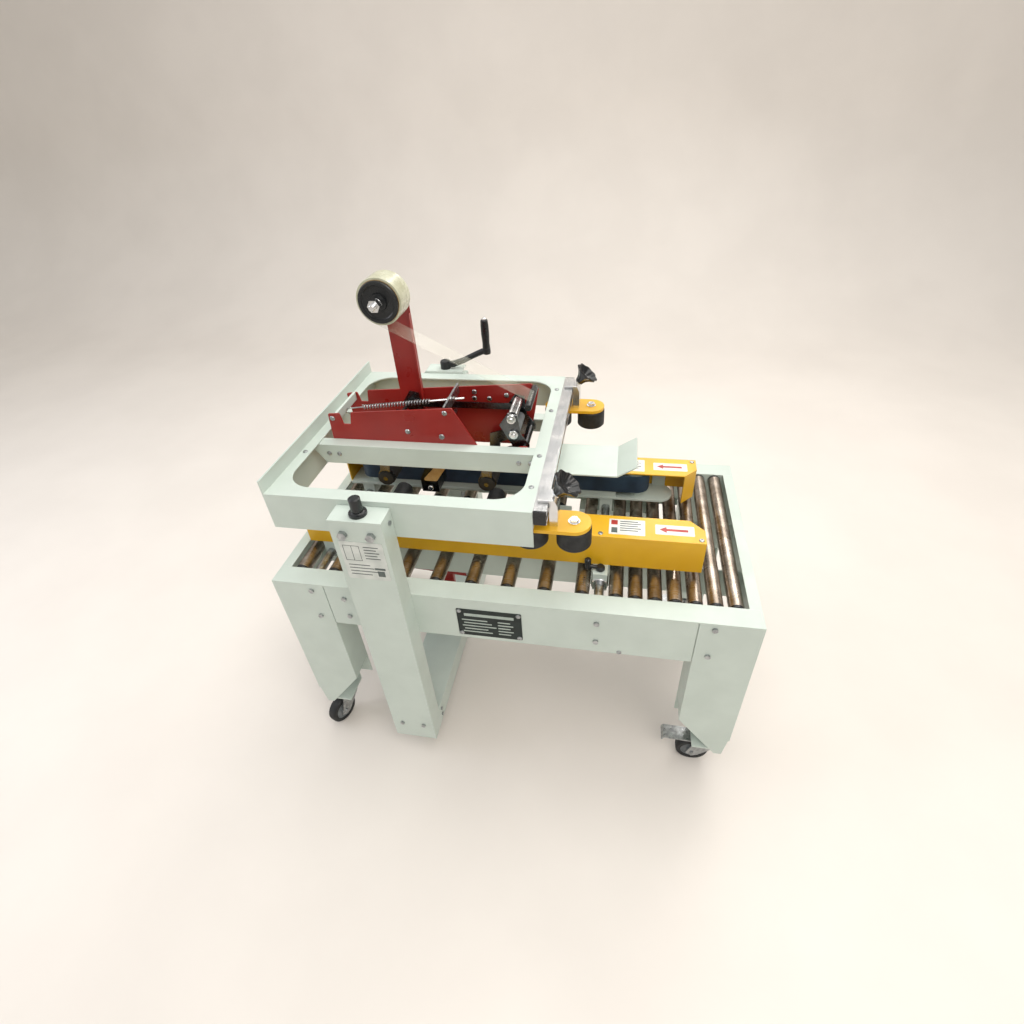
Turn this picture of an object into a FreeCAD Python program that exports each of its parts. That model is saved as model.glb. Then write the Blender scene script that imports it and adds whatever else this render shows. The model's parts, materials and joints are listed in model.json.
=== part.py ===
import FreeCAD, Part
import math
import os
import re
from Sketcher import Constraint

# Carton sealer with two driven side belts. +X is the infeed end, -Y the operator's side, +Z up.
# The origin is on the floor under the middle of the table. Every size is in millimetres.

doc = FreeCAD.newDocument("CartonSealer")
sheet = doc.addObject("Spreadsheet::Sheet", "Sizes")

SIZES = {
    # table
    "table_length": 1000, "table_width": 538, "table_top": 532, "rail_height": 118, "gauge": 3,
    "rail_flange": 43, "rail_lip": 38, "end_flange": 23, "seam": 1, "bottom_flange": 28,
    "pocket_half": "=head_half+gauge", "pocket_start": "=first_roller+58",
    "pocket_end": "=first_roller+7*roller_pitch+31", "pocket_depth": 52,
    "wall_half": 78, "wall_drop": 42,
    # legs and casters
    "leg_width": 117, "leg_depth": 70, "leg_shoulder": 206, "leg_ankle": 146, "leg_tip": 89,
    "toe_inset": 9, "toe_width": 17, "caster_rise": 100, "caster_pad": 4, "caster_inset": 38,
    "wheel_dia": 75, "wheel_width": 24, "wheel_trail": 28, "fork_gap": 30, "caster_toe": 41,
    # conveyor rollers
    "roller_dia": 30, "roller_pitch": "=table_length*0.077", "first_roller": "=-table_length/2+42",
    "dense_pitch": "=roller_pitch/2",
    "first_dense": "=first_roller+8*roller_pitch+68", "axle_dia": 8, "running": 0.08,
    "roller_end_gap": 4,
    # columns, lift screws and base beam
    "column_x": -237, "column_width": 103, "column_depth": 46, "column_foot": 60,
    "column_top": "=table_top+225",
    "screw_dia": 14, "beam_top": 115, "screw_y": "=(table_width+column_depth)/2", "nut_gap": 0.5,
    "sprocket_dia": 24, "crank_reach": 112, "crank_rise": 45, "grip_length": 78,
    # upper frame
    "frame_start": -437, "frame_end": 74, "frame_half": "=table_width/2-0.5",
    "frame_top": "=column_top+11", "frame_skirt": 80,
    "end_skirt": 40, "border_side": 30, "border_end": 25, "window_corner": 55, "upturn": 29,
    "beam_half": 85, "beam_depth": 45, "skid_half": 58, "skid_top": "=frame_top-62", "skid_bend": 213,
    "skid_tip": 250, "skid_lift": 25, "rail_proj": 24, "rail_side": 30,
    # belt units
    "cover_start": "=-table_length/2+35", "cover_end": "=table_length/2-107", "cover_outer": 148,
    "cover_inner": 79, "cover_top": "=cover_foot+77",
    "cover_foot": "=table_top+12", "cover_bend": "=cover_end-28", "nose_inner": 108, "belt_face": 76,
    "belt_gauge": 3,
    "drum_dia": 56, "drive_drum": "=cover_start+66", "idler_drum": "=cover_end-134",
    "belt_foot": "=cover_foot+24", "belt_width": 46,
    "shaft_dia": 20, "clamp_width": 30, "front_shaft": "=first_dense-34",
    "rear_shaft": "=first_roller+roller_pitch/2",
    "shaft_z": "=table_top-17",
    # side squeeze rollers
    "squeeze_y": "=frame_half-46.5", "squeeze_x": 142, "squeeze_back": 62, "squeeze_dia": 65,
    "squeeze_height": 42,
    "squeeze_arm_top": "=frame_top-51", "arm_gauge": 8,
    # tape heads
    "head_half": 55, "head_foot": "=frame_top-66", "arm_y": 40, "arm_plate": 4, "pivot_x": 23,
    "pivot_z": "=frame_top-2*gauge-5",
    "wiper_x": -65, "wiper_z": "=head_foot-45", "wiper_dia": 40, "arm_pitch": 233, "apex_x": -12,
    "apex_z": "=head_foot+104",
    "reel_x": -240, "reel_z": "=head_foot+343", "tape_dia": 88, "tape_width": 50, "core_dia": 76,
    "spindle_dia": 12, "head_mirror": "=table_top+80",
    # switch box
    "box_start": 120, "box_length": 200, "box_depth": 70, "box_height": 94, "button_dia": 30,
    "bolt_dia": 11,
}
for row, (alias, size) in enumerate(SIZES.items(), start=1):
    sheet.set(f"A{row}", alias)
    sheet.set(f"B{row}", str(size))
    sheet.setAlias(f"B{row}", alias)
doc.recompute()

TURNS = {
    "x": FreeCAD.Rotation(FreeCAD.Vector(0, 1, 0), 90),
    "y": FreeCAD.Rotation(FreeCAD.Vector(1, 0, 0), -90),
    "z": FreeCAD.Rotation(),
}
NODES = []


def sized(text):
    """An expression over the sheet, from one that names its sizes by their aliases alone."""
    return re.sub(r"[a-z_]+", lambda m: "Sizes." + m[0] if m[0] in SIZES else m[0], str(text))


def bind(item, **sizes):
    for name, text in sizes.items():
        item.setExpression(name, sized(text))


def place(item, at, turn=None):
    """Puts an object's own origin at a point given as three expressions."""
    item.Placement = FreeCAD.Placement(FreeCAD.Vector(), turn or FreeCAD.Rotation())
    for axis, text in zip("xyz", at):
        item.setExpression("Placement.Base." + axis, sized(text))
    return item


def box(name, low, size):
    item = doc.addObject("Part::Box", name)
    bind(item, Length=size[0], Width=size[1], Height=size[2])
    return place(item, low)


def rod(name, dia, length, start, along="z"):
    item = doc.addObject("Part::Cylinder", name)
    bind(item, Radius=f"({dia})/2", Height=length)
    return place(item, start, TURNS[along])


def hexagon(name, across, length, start, along="z"):
    item = doc.addObject("Part::Prism", name)
    item.Polygon = 6
    bind(item, Circumradius=f"({across})/1.732", Height=length)
    return place(item, start, TURNS[along])


def fuse(name, *shapes):
    item = doc.addObject("Part::MultiFuse", name)
    item.Shapes = list(shapes)
    return item


def group(name, *shapes):
    item = doc.addObject("Part::Compound", name)
    item.Links = list(shapes)
    return item


def cut(name, base, *tools):
    item = doc.addObject("Part::Cut", name)
    item.Base = base
    item.Tool = tools[0] if len(tools) == 1 else group(name + "_tools", *tools)
    return item


def mirrored(name, source, axis="y", plane="0"):
    """A copy of a shape on the other side of a plane square to one axis."""
    item = doc.addObject("Part::Mirroring", name)
    item.Source = source
    item.Normal = FreeCAD.Vector(axis == "x", axis == "y", axis == "z")
    item.setExpression("Base." + axis, sized(plane))
    return item


def pair(name, source, axis="y", plane="0"):
    return group(name, source, mirrored(name + "_other", source, axis, plane))


PLANES = {"y": "XZ_Plane", "x": "YZ_Plane", "z": "XY_Plane"}


def plate(name, corners, start, thickness, across="y"):
    """A flat plate: an outline of corners, pushed along one axis from start to its thickness.

    The outline's corners are (x, z) for a plate square to Y, (y, z) for X and (x, y) for Z.
    """
    body = doc.addObject("PartDesign::Body", name)
    outline = body.newObject("Sketcher::SketchObject", name + "_outline")
    plane = next(f for f in body.Origin.OriginFeatures if f.Role == PLANES[across])
    outline.AttachmentSupport = [(plane, "")]
    outline.MapMode = "FlatFace"
    count = len(corners)
    ring = [2 * math.pi * i / count for i in range(count)]
    points = [FreeCAD.Vector(100 * math.cos(a), 100 * math.sin(a), 0) for a in ring]
    for i in range(count):
        outline.addGeometry(Part.LineSegment(points[i], points[(i + 1) % count]), False)
    for i in range(count):
        outline.addConstraint(Constraint("Coincident", i, 2, (i + 1) % count, 1))
    for i, corner in enumerate(corners):
        for kind, text in zip(("DistanceX", "DistanceY"), corner):
            index = outline.addConstraint(Constraint(kind, -1, 1, i, 1, 1.0))
            outline.setExpression(f"Constraints[{index}]", sized(text))
    pad = body.newObject("PartDesign::Pad", name + "_pad")
    pad.Profile = outline
    pad.Reversed = across == "y"
    bind(pad, Length=thickness)
    lift = {"x": (start, 0, 0), "y": (0, start, 0), "z": (0, 0, start)}[across]
    return place(body, lift)


def node(name, item):
    item.Label = name
    NODES.append(item)
    return item


# ---------------------------------------------------------------- table
HALF_L = "table_length/2"
HALF_W = "table_width/2"
RAIL_FOOT = "(table_top-rail_height)"
LIP_IN = "(table_width/2-rail_flange-gauge)"


def side_rail():
    """The operator's side rail: face between the legs, top flange, roller lip and leg gussets."""
    run = f"2*({HALF_L}-gauge)"
    face_run = f"2*({HALF_L}-leg_width-2*seam)"
    face_x = f"-({HALF_L}-leg_width-2*seam)"
    parts = [
        box("rail_top", (f"-({HALF_L}-gauge)", f"-{HALF_W}", "table_top-gauge"),
            (run, "rail_flange", "gauge")),
        box("rail_lip_strip", (f"-({HALF_L}-gauge)", f"-{HALF_W}+rail_flange-0.01",
            "table_top-rail_lip"),
            (run, "gauge+0.01", "rail_lip")),
        box("rail_face", (face_x, f"-{HALF_W}", RAIL_FOOT), (face_run, "gauge", "rail_height-gauge/2")),
        box("rail_foot", (face_x, f"-{HALF_W}", RAIL_FOOT), (face_run, "bottom_flange", "gauge")),
    ]
    for side in (-1, 1):
        parts.append(box("rail_gusset", (f"{side}*({HALF_L}-leg_width)-40", f"-{HALF_W}+gauge",
            f"{RAIL_FOOT}+gauge/2"),
                         (80, "gauge", "rail_height-gauge*1.2")))
    return fuse("side_rail", *parts)


def end_rail():
    """The plate across the outfeed end of the table, with its narrow top flange."""
    face = box("end_face", (f"-{HALF_L}", f"-{HALF_W}", RAIL_FOOT),
        ("gauge", "table_width", "rail_height"))
    flange = box("end_flange_strip", (f"-{HALF_L}", f"-{LIP_IN}", "table_top-gauge"),
                 ("end_flange", f"2*{LIP_IN}", "gauge"))
    return fuse("end_rail", face, flange)


def pocket_rail():
    """One of the two strips that hold the inner ends of the split rollers beside the tape head."""
    return box("pocket_strip", ("pocket_start", "-pocket_half-gauge", "table_top-gauge-pocket_depth"),
               ("pocket_end-pocket_start", "gauge", "pocket_depth"))


def inner_wall():
    """One of the two long sheets between the end rails, under the rollers, beside the lower head."""
    return box("wall_sheet", (f"-{HALF_L}+gauge", "-wall_half-gauge", RAIL_FOOT),
               (f"2*({HALF_L}-gauge)", "gauge", f"table_top-wall_drop-{RAIL_FOOT}"))


node("side_rails", pair("side_rails", side_rail()))
node("cross_rails", group("cross_rails", pair("end_rails", end_rail(), "x"),
    pair("pocket_rails", pocket_rail()), pair("inner_walls", inner_wall())))

# ---------------------------------------------------------------- legs
CASTER_X = f"({HALF_L}-caster_inset)"
CASTER_Y = f"({HALF_W}-caster_toe)"


def leg():
    """The near outfeed leg: a folded sheet with a tapered foot and the pad its caster bolts to."""
    edge = f"-{HALF_L}+gauge"
    inner = f"-{HALF_L}+leg_width"
    head = "table_top-gauge"
    face = plate("leg_face", [
        (edge, head), (edge, "leg_ankle"), (f"-{HALF_L}+toe_inset", "leg_tip"),
        (f"-{HALF_L}+toe_inset+toe_width", "leg_tip"), (inner, "leg_shoulder"), (inner, head)],
        f"-{HALF_W}", "gauge")
    outer = box("leg_outer", (f"-{HALF_L}", f"-{HALF_W}", "leg_ankle"),
        ("gauge", "leg_depth", f"{RAIL_FOOT}-leg_ankle"))
    edge_fill = box("leg_fold", (f"-{HALF_L}", f"-{HALF_W}", "leg_ankle"),
        ("gauge*1.5", "gauge", f"{RAIL_FOOT}-leg_ankle"))
    inner_wall = box("leg_inner", (f"{inner}-gauge", f"-{HALF_W}", "leg_shoulder"),
                     ("gauge", "leg_depth", f"{RAIL_FOOT}-leg_shoulder"))
    pad = box("caster_plate", (f"-{CASTER_X}-26", f"-{HALF_W}+gauge/2", "caster_rise"),
        (64, "leg_depth-gauge/2", "caster_pad"))
    web = box("caster_web", (f"-{CASTER_X}-26", f"-{HALF_W}+leg_depth-gauge", "caster_rise"),
        (64, "gauge", "leg_shoulder-caster_rise+30"))
    tie = box("caster_tie", (f"-{HALF_L}", f"-{HALF_W}+leg_depth-gauge", "leg_ankle"),
        ("leg_width", "gauge", "leg_shoulder-leg_ankle+30"))
    return fuse("leg", face, outer, edge_fill, inner_wall, pad, web, tie)


near_legs = pair("near_legs", leg(), "x")
node("legs", pair("legs", near_legs))

# ---------------------------------------------------------------- casters


def caster_fork(name, at, turn, braked):
    """A swivel fork: raceway, crown and two cheeks, with its wheel's axle and maybe a brake pedal."""
    crown = "caster_rise-14"
    solids = [
        rod(name + "_race", 44, 14, (0, 0, crown)),
        rod(name + "_crown", 50, 5, (0, 0, f"{crown}-5")),
    ]
    cheek_corners = [(22, f"{crown}-1"), (22, f"{crown}-16"), ("-wheel_trail+13", "wheel_dia/2-9"),
                     ("-wheel_trail", "wheel_dia/2-15"), ("-wheel_trail-14", "wheel_dia/2-4"), (-24,
                     f"{crown}-1")]
    near = plate(name + "_cheek", cheek_corners, "-fork_gap/2-2.5", 2.5)
    solids += [near, mirrored(name + "_cheek_far", near)]
    solids.append(rod(name + "_axle", "axle_dia", "fork_gap+11",
        ("-wheel_trail", "-fork_gap/2-5.5", "wheel_dia/2"), "y"))
    if braked:
        pedal = [(-20, f"{crown}-4.5"), (-20, f"{crown}-1"), (-66, f"{crown}+1"), (-100, f"{crown}+2"),
                 (-104, f"{crown}-8"), (-101, f"{crown}-9"), (-97, f"{crown}-1.5"), (-66,
                 f"{crown}-2.5")]
        solids.append(plate(name + "_pedal", pedal, -17, 34))
    return turned(name, fuse(name + "_shape", *solids), at, turn)


def caster_wheel(name, at, turn):
    """A solid rubber tyre on a plastic centre, bored for the fork's axle."""
    tread = rod(name + "_tyre", "wheel_dia", "wheel_width",
        ("-wheel_trail", "-wheel_width/2", "wheel_dia/2"), "y")
    hub = rod(name + "_hub", 22, "fork_gap-1", ("-wheel_trail", "-fork_gap/2+0.5", "wheel_dia/2"), "y")
    bore = rod(name + "_bore", "axle_dia+2*running", "fork_gap+2",
        ("-wheel_trail", "-fork_gap/2-1", "wheel_dia/2"), "y")
    return turned(name, cut(name + "_shape", fuse(name + "_solid", tread, hub), bore), at, turn)


def turned(name, source, at, angle):
    """A shape turned about its own Z axis and then carried to its place."""
    item = group(name, source)
    return place(item, at, FreeCAD.Rotation(FreeCAD.Vector(0, 0, 1), angle))


for caster, (side_x, side_y, heading) in enumerate([(-1, -1, 68), (-1, 1, -66), (1, -1, 0), (1, 1, 18)],
    start=1):
    spot = (f"{side_x}*{CASTER_X}", f"{side_y}*{CASTER_Y}", 0)
    node(f"caster_fork_{caster}", caster_fork(f"caster_fork_{caster}", spot, heading, side_x > 0))
    node(f"caster_wheel_{caster}", caster_wheel(f"caster_wheel_{caster}", spot, heading))

# ---------------------------------------------------------------- conveyor rollers
ROLLER_Z = "(table_top-roller_dia/2)"
SPLIT = range(2, 9)


def roller_x(number):
    if number <= 9:
        return f"(first_roller+{number - 1}*roller_pitch)"
    return f"(first_dense+{number - 10}*dense_pitch)"


def roller_spans(number):
    """The stretches of Y that a roller's axle covers: the whole width, or both sides of the pocket."""
    if number in SPLIT:
        return [(f"-{LIP_IN}", "-pocket_half-gauge"), ("pocket_half+gauge", LIP_IN)]
    return [(f"-{LIP_IN}", LIP_IN)]


axles = []
for number in range(1, 17):
    tubes = []
    for low, high in roller_spans(number):
        centre = (roller_x(number), low, ROLLER_Z)
        axles.append(rod(f"axle_{number:02d}", "axle_dia", f"({high})-({low})", centre, "y"))
        body = rod("roller_body", "roller_dia", f"({high})-({low})-2*roller_end_gap",
                   (roller_x(number), f"({low})+roller_end_gap", ROLLER_Z), "y")
        bore = rod("roller_bore", "axle_dia+2*running", f"({high})-({low})", centre, "y")
        tubes.append(cut("roller_tube", body, bore))
    node(f"conveyor_roller_{number:02d}", group(f"conveyor_roller_{number:02d}", *tubes))
for shaft_x in ("front_shaft", "rear_shaft"):
    axles.append(rod("cross_shaft", "shaft_dia", f"2*{LIP_IN}", (shaft_x, f"-{LIP_IN}", "shaft_z"),
        "y"))
node("cross_shafts", group("cross_shafts", *axles))

# ---------------------------------------------------------------- columns, screws and base beam
COLUMN_IN = f"{HALF_W}"
COLUMN_LOW = "column_x-column_width/2"


def column():
    """The operator's column: a folded channel open towards the table, closed at the top and foot."""
    outer = box("column_outer", (COLUMN_LOW, f"-{HALF_W}-column_depth", "column_foot"),
                ("column_width", "column_depth", "column_top-column_foot"))
    hollow = box("column_hollow", (f"{COLUMN_LOW}+gauge", f"-{HALF_W}-column_depth+gauge",
        "column_foot+gauge"),
                 ("column_width-2*gauge", "column_depth", "column_top-column_foot-2*gauge"))
    hole = rod("column_hole", "screw_dia+2*running", "column_top", ("column_x", "-screw_y", 0))
    cap = rod("screw_cap_flange", 32, 5, ("column_x", "-screw_y", "column_top"))
    cap_hole = rod("screw_cap_hole", "screw_dia+2*running", 30,
        ("column_x", "-screw_y", "column_top-1"))
    return cut("column", fuse("column_solid", cut("column_shell", outer, hollow), cap), hole, cap_hole)


def screw_cap():
    """The black plastic cap that covers the top of the operator's screw."""
    rise = 35
    top = rod("cap_top", 20, rise - 5, ("column_x", "-screw_y", "column_top+5"))
    inside = rod("cap_inside", "screw_dia+1", rise - 8, ("column_x", "-screw_y", "column_top+4"))
    return cut("screw_cap", top, inside)


near_column = column()
node("columns", group("columns", pair("column_pair", near_column), screw_cap()))


def base_beam():
    """The inverted channel that joins the two columns near the floor and covers the chain."""
    outer = box("beam_outer", (COLUMN_LOW, f"-{HALF_W}", "column_foot"),
        ("column_width", "table_width", "beam_top-column_foot"))
    hollow = box("beam_hollow", (f"{COLUMN_LOW}+gauge", f"-{HALF_W}-1", "column_foot-1"),
                 ("column_width-2*gauge", "table_width+2", "beam_top-column_foot-gauge+1"))
    return cut("base_beam_shell", outer, hollow)


def chain_loop():
    """The roller chain round both sprockets, drawn as one band of the chain's outer size."""
    inner_r, outer_r = "(sprocket_dia/2+0.5)", "(sprocket_dia/2+5)"

    def track(name, radius, foot, height):
        straight = box(name + "_run", (f"column_x-{radius}", "-screw_y", foot),
            (f"2*{radius}", "2*screw_y", height))
        ends = [rod(name + "_end", f"2*{radius}", height,
            ("column_x", f"{side}*screw_y", foot)) for side in (-1, 1)]
        return fuse(name, straight, *ends)

    return cut("chain_loop", track("chain_outer", outer_r, 84, 7),
        track("chain_inner", inner_r, 80, 15))


node("base_beam", group("base_beam", base_beam(), chain_loop()))

NUT_FOOT = "(frame_top-frame_skirt+8)"
NUT_HEIGHT = f"(column_top-gauge-nut_gap-{NUT_FOOT})"


def lift_screw(name, side, top):
    """A lift screw with its sprocket and thrust collar, standing in a column."""
    at = ("column_x", f"{side}*screw_y")
    solids = [
        rod(name + "_rod", "screw_dia", f"{top}-column_foot", (*at, "column_foot")),
        rod(name + "_collar", 24, 6, (*at, "column_foot+gauge")),
        rod(name + "_sprocket", "sprocket_dia", 4, (*at, 85.5)),
    ]
    return solids


def crank():
    """The crank on the far screw: hub, rising arm and a turning grip's spindle."""
    hub_z = "(column_top+6)"
    at = ("column_x", "screw_y")
    hub = rod("crank_hub", 26, 30, (*at, hub_z))
    arm = plate("crank_arm", [
        ("column_x-9", f"{hub_z}+12"), ("column_x+20", f"{hub_z}+10"), ("column_x+crank_reach-8",
        f"{hub_z}+crank_rise+6"),
        ("column_x+crank_reach+9", f"{hub_z}+crank_rise+8"), ("column_x+crank_reach+9",
        f"{hub_z}+crank_rise+20"),
        ("column_x+crank_reach-14", f"{hub_z}+crank_rise+20"), ("column_x+10",
        f"{hub_z}+28"), ("column_x-9", f"{hub_z}+30")],
        "screw_y-8", 16)
    post = rod("crank_grip", 20, "grip_length", ("column_x+crank_reach", "screw_y",
        f"{hub_z}+crank_rise+19"))
    return [hub, arm, post]


node("lift_screw_near", fuse("lift_screw_near", *lift_screw("near_screw", -1, "(column_top+24)")))
node("lift_screw_far", fuse("lift_screw_far", *lift_screw("far_screw", 1, "(column_top+34)"), *crank()))

# ---------------------------------------------------------------- upper frame
FRAME_LONG = "(frame_end-frame_start)"


def window():
    """The frame's window: a rounded rectangle through its top sheet."""
    low_x, high_x = "frame_start+border_end", "frame_end-border_end"
    half = "(frame_half-border_side)"
    run_x = f"({high_x})-({low_x})"
    bars = [
        box("window_long", (low_x, f"-{half}+window_corner", "frame_top-20"),
            (run_x, f"2*({half}-window_corner)", 40)),
        box("window_wide", (f"{low_x}+window_corner", f"-{half}", "frame_top-20"),
            (f"{run_x}-2*window_corner", f"2*{half}", 40)),
    ]
    for x in (f"{low_x}+window_corner", f"{high_x}-window_corner"):
        for side in (-1, 1):
            bars.append(rod("window_round", "2*window_corner", 40,
                (x, f"{side}*({half}-window_corner)", "frame_top-20")))
    return fuse("window", *bars)


def frame_tray():
    """The folded tray that carries the upper head, with its outfeed upturn and two lift nuts."""
    outer = box("tray_outer", ("frame_start", "-frame_half", "frame_top-frame_skirt"),
        (FRAME_LONG, "2*frame_half", "frame_skirt"))
    hollow = box("tray_hollow", ("frame_start+gauge", "-frame_half+gauge", "frame_top-frame_skirt-1"),
                 (f"{FRAME_LONG}-2*gauge", "2*(frame_half-gauge)", "frame_skirt-gauge+1"))
    mouth = box("tray_mouth", ("frame_end-gauge-1", "-frame_half+gauge", "frame_top-frame_skirt-1"),
                ("gauge+2", "2*(frame_half-gauge)", "frame_skirt-end_skirt+1"))
    tray = cut("tray", outer, hollow, mouth, window())
    upturn_strip = box("tray_upturn", ("frame_start", "-frame_half", "frame_top-1"),
        ("gauge", "2*frame_half", "upturn+1"))
    slider = box("nut_slider", (f"{COLUMN_LOW}+gauge+nut_gap", "-screw_y-15", NUT_FOOT),
                 ("column_width-2*(gauge+nut_gap)", "screw_y+15-frame_half+0.5", NUT_HEIGHT))
    bore = rod("nut_bore", "screw_dia+2*running", f"{NUT_HEIGHT}+2",
        ("column_x", "-screw_y", f"{NUT_FOOT}-1"))
    nut = cut("lift_nut", slider, bore)
    return fuse("frame_tray", tray, upturn_strip, nut, mirrored("lift_nut_far", nut))


def head_beam():
    """The angle that carries one side of the tape head across the window."""
    under = "(frame_top-gauge)"
    web = plate("beam_web", [("frame_start+gauge", under),
        ("frame_start+gauge+30", f"{under}-beam_depth"),
                             ("frame_end-gauge", f"{under}-beam_depth"), ("frame_end-gauge",
                             under)], "-beam_half", "gauge")
    shelf = box("beam_shelf", ("frame_start+gauge", "-beam_half", f"{under}-gauge"),
                (f"{FRAME_LONG}-2*gauge", "beam_half-head_half-gauge", "gauge"))
    return fuse("head_beam", web, shelf)


def skid():
    """The white bent tray in front of the head that holds the carton's flaps shut."""
    hang = "(frame_end-gauge*4-2)"
    tip_z = "skid_top+skid_lift"
    return plate("skid", [
        (hang, "frame_top-gauge"), (hang, "skid_top-gauge"), ("skid_bend+1",
        "skid_top-gauge"), ("skid_tip+2", f"{tip_z}-2.5"),
        ("skid_tip", tip_z), ("skid_bend", "skid_top"), (f"{hang}+gauge", "skid_top"), (f"{hang}+gauge",
        "frame_top-gauge")],
        "-skid_half", "2*skid_half", "y")


RAIL_Z = "(frame_top-rail_side)"


def guide_rail():
    """The plated slotted channel along the infeed edge that the squeeze brackets slide on."""
    outer = box("guide_outer", ("frame_end", "-frame_half+6", RAIL_Z),
        ("rail_proj", "2*(frame_half-6)", "rail_side"))
    inside = box("guide_inside", ("frame_end+2", "-frame_half-1", f"{RAIL_Z}+2"),
        ("rail_proj-4", "2*frame_half+2", "rail_side-4"))
    slot = box("guide_slot", ("frame_end+rail_proj-3", "-frame_half-1", f"{RAIL_Z}+rail_side/2-5"),
        (4, "2*frame_half+2", 10))
    return cut("guide_rail", outer, inside, slot)


node("upper_frame", group("upper_frame", frame_tray(), pair("head_beams", head_beam())))
node("infeed_skid", skid())
node("guide_rail", guide_rail())

# ---------------------------------------------------------------- squeeze rollers
ARM_FOOT = "(squeeze_arm_top-arm_gauge)"


def squeeze_arm():
    """The near yellow arm with its clamp on the guide rail and its tilted star knob."""
    slab = box("arm_slab", ("squeeze_back", "-squeeze_y-squeeze_dia/2+1", ARM_FOOT),
        ("squeeze_x-squeeze_back", "squeeze_dia-2", "arm_gauge"))
    ends = [rod("arm_end", "squeeze_dia-2", "arm_gauge",
        (x, "-squeeze_y", ARM_FOOT)) for x in ("squeeze_x", "squeeze_back")]
    pins = [rod("arm_pin", "axle_dia+2", "squeeze_height+arm_gauge+7",
        (x, "-squeeze_y", f"{ARM_FOOT}-squeeze_height-2"))
            for x in ("squeeze_x", "squeeze_back")]
    nut = hexagon("arm_nut", 16, 6, ("squeeze_x", "-squeeze_y", "squeeze_arm_top-1"))
    post = box("arm_post", ("frame_end+rail_proj+0.5", "-squeeze_y-18", ARM_FOOT),
        (16, 36, f"frame_top+6-{ARM_FOOT}"))
    tongue = box("arm_tongue", ("frame_end+rail_proj-1.5", "-squeeze_y-18",
        f"{RAIL_Z}+rail_side/2-4.5"), (4, 36, 9))
    hook = box("arm_hook", ("frame_end+4", "-squeeze_y-18", "frame_top+0.5"), ("rail_proj", 36, 5))
    return fuse("squeeze_arm", slab, *ends, *pins, nut, post, tongue, hook)


def star_knob():
    """A lobed knob on a stud, leaning out over the infeed side."""
    lean = FreeCAD.Rotation(FreeCAD.Vector(0, 1, 0), 40)
    root = ("frame_end+rail_proj+13", "-squeeze_y", "frame_top+9.3")
    stud = place(doc.addObject("Part::Cylinder", "knob_stud"), root, lean)
    bind(stud, Radius=5, Height=30)
    flare = place(doc.addObject("Part::Cone", "knob_flare"), root, lean)
    bind(flare, Radius1=8, Radius2=26, Height=28)
    return fuse("star_knob", stud, flare)


def squeeze_roller(name, x):
    """A rubber roller that turns on a squeeze arm's pin."""
    height = "squeeze_height-1"
    tyre = rod(name + "_tyre", "squeeze_dia", height,
        (x, "-squeeze_y", f"{ARM_FOOT}-squeeze_height+0.5"))
    bore = rod(name + "_bore", "axle_dia+2+2*running", "squeeze_height+2",
        (x, "-squeeze_y", f"{ARM_FOOT}-squeeze_height-1"))
    return cut(name, tyre, bore)


near_arm = group("near_arm", squeeze_arm(), star_knob(), squeeze_roller("back_squeeze", "squeeze_back"))
near_roller = squeeze_roller("front_squeeze", "squeeze_x")
node("squeeze_arm_near", near_arm)
node("squeeze_arm_far", mirrored("squeeze_arm_far", near_arm))
node("squeeze_roller_near", near_roller)
node("squeeze_roller_far", mirrored("squeeze_roller_far", near_roller))

# ---------------------------------------------------------------- belt units
COVER_LONG = "(cover_end-cover_start)"
DRUM_Y = "(belt_face+belt_gauge+drum_dia/2)"
PLATE_TOP = "(cover_foot+6)"


def belt_cover():
    """The near unit's yellow cover: a long folded lid, bevelled at its infeed nose."""
    outline = [("cover_start", "-cover_outer"), ("cover_end", "-cover_outer"),
        ("cover_end", "-nose_inner"),
               ("cover_bend", "-cover_inner"), ("cover_start", "-cover_inner")]
    lid = plate("cover_lid", outline, "cover_top-gauge", "gauge", "z")
    side = box("cover_side", ("cover_start", "-cover_outer", "cover_foot"),
        (COVER_LONG, "gauge", "cover_top-cover_foot-1"))
    nose = box("cover_nose", ("cover_end-gauge", "-cover_outer", "cover_foot"),
        ("gauge", "cover_outer-nose_inner", "cover_top-cover_foot-1"))
    tail = box("cover_tail", ("cover_start", "-cover_outer", "cover_foot"),
        ("gauge", "cover_outer-cover_inner-6", "cover_top-cover_foot-1"))
    bevel = plate("cover_bevel", [("cover_end", "-nose_inner"), ("cover_end-gauge*1.4", "-nose_inner"),
                                  ("cover_bend-1", "-cover_inner-gauge*1.4"), ("cover_bend",
                                  "-cover_inner")],
                  "cover_foot", "cover_top-cover_foot-1", "z")
    return fuse("belt_cover", lid, side, nose, tail, bevel)


def belt_loop(name, radius, foot, height):
    """A stadium round both drums, of one radius."""
    run = box(name + "_run", ("drive_drum", f"-{DRUM_Y}-{radius}", foot),
        ("idler_drum-drive_drum", f"2*{radius}", height))
    ends = [rod(name + "_end", f"2*{radius}", height, (x, f"-{DRUM_Y}", foot)) for x in ("drive_drum",
        "idler_drum")]
    return fuse(name, run, *ends)


def side_belt():
    """The near unit's flat rubber belt, one closed loop."""
    outer = belt_loop("belt_outer", "(drum_dia/2+belt_gauge)", "belt_foot", "belt_width")
    inner = belt_loop("belt_inner", "(drum_dia/2+0.2)", "belt_foot-1", "belt_width+2")
    return cut("side_belt", outer, inner)


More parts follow.
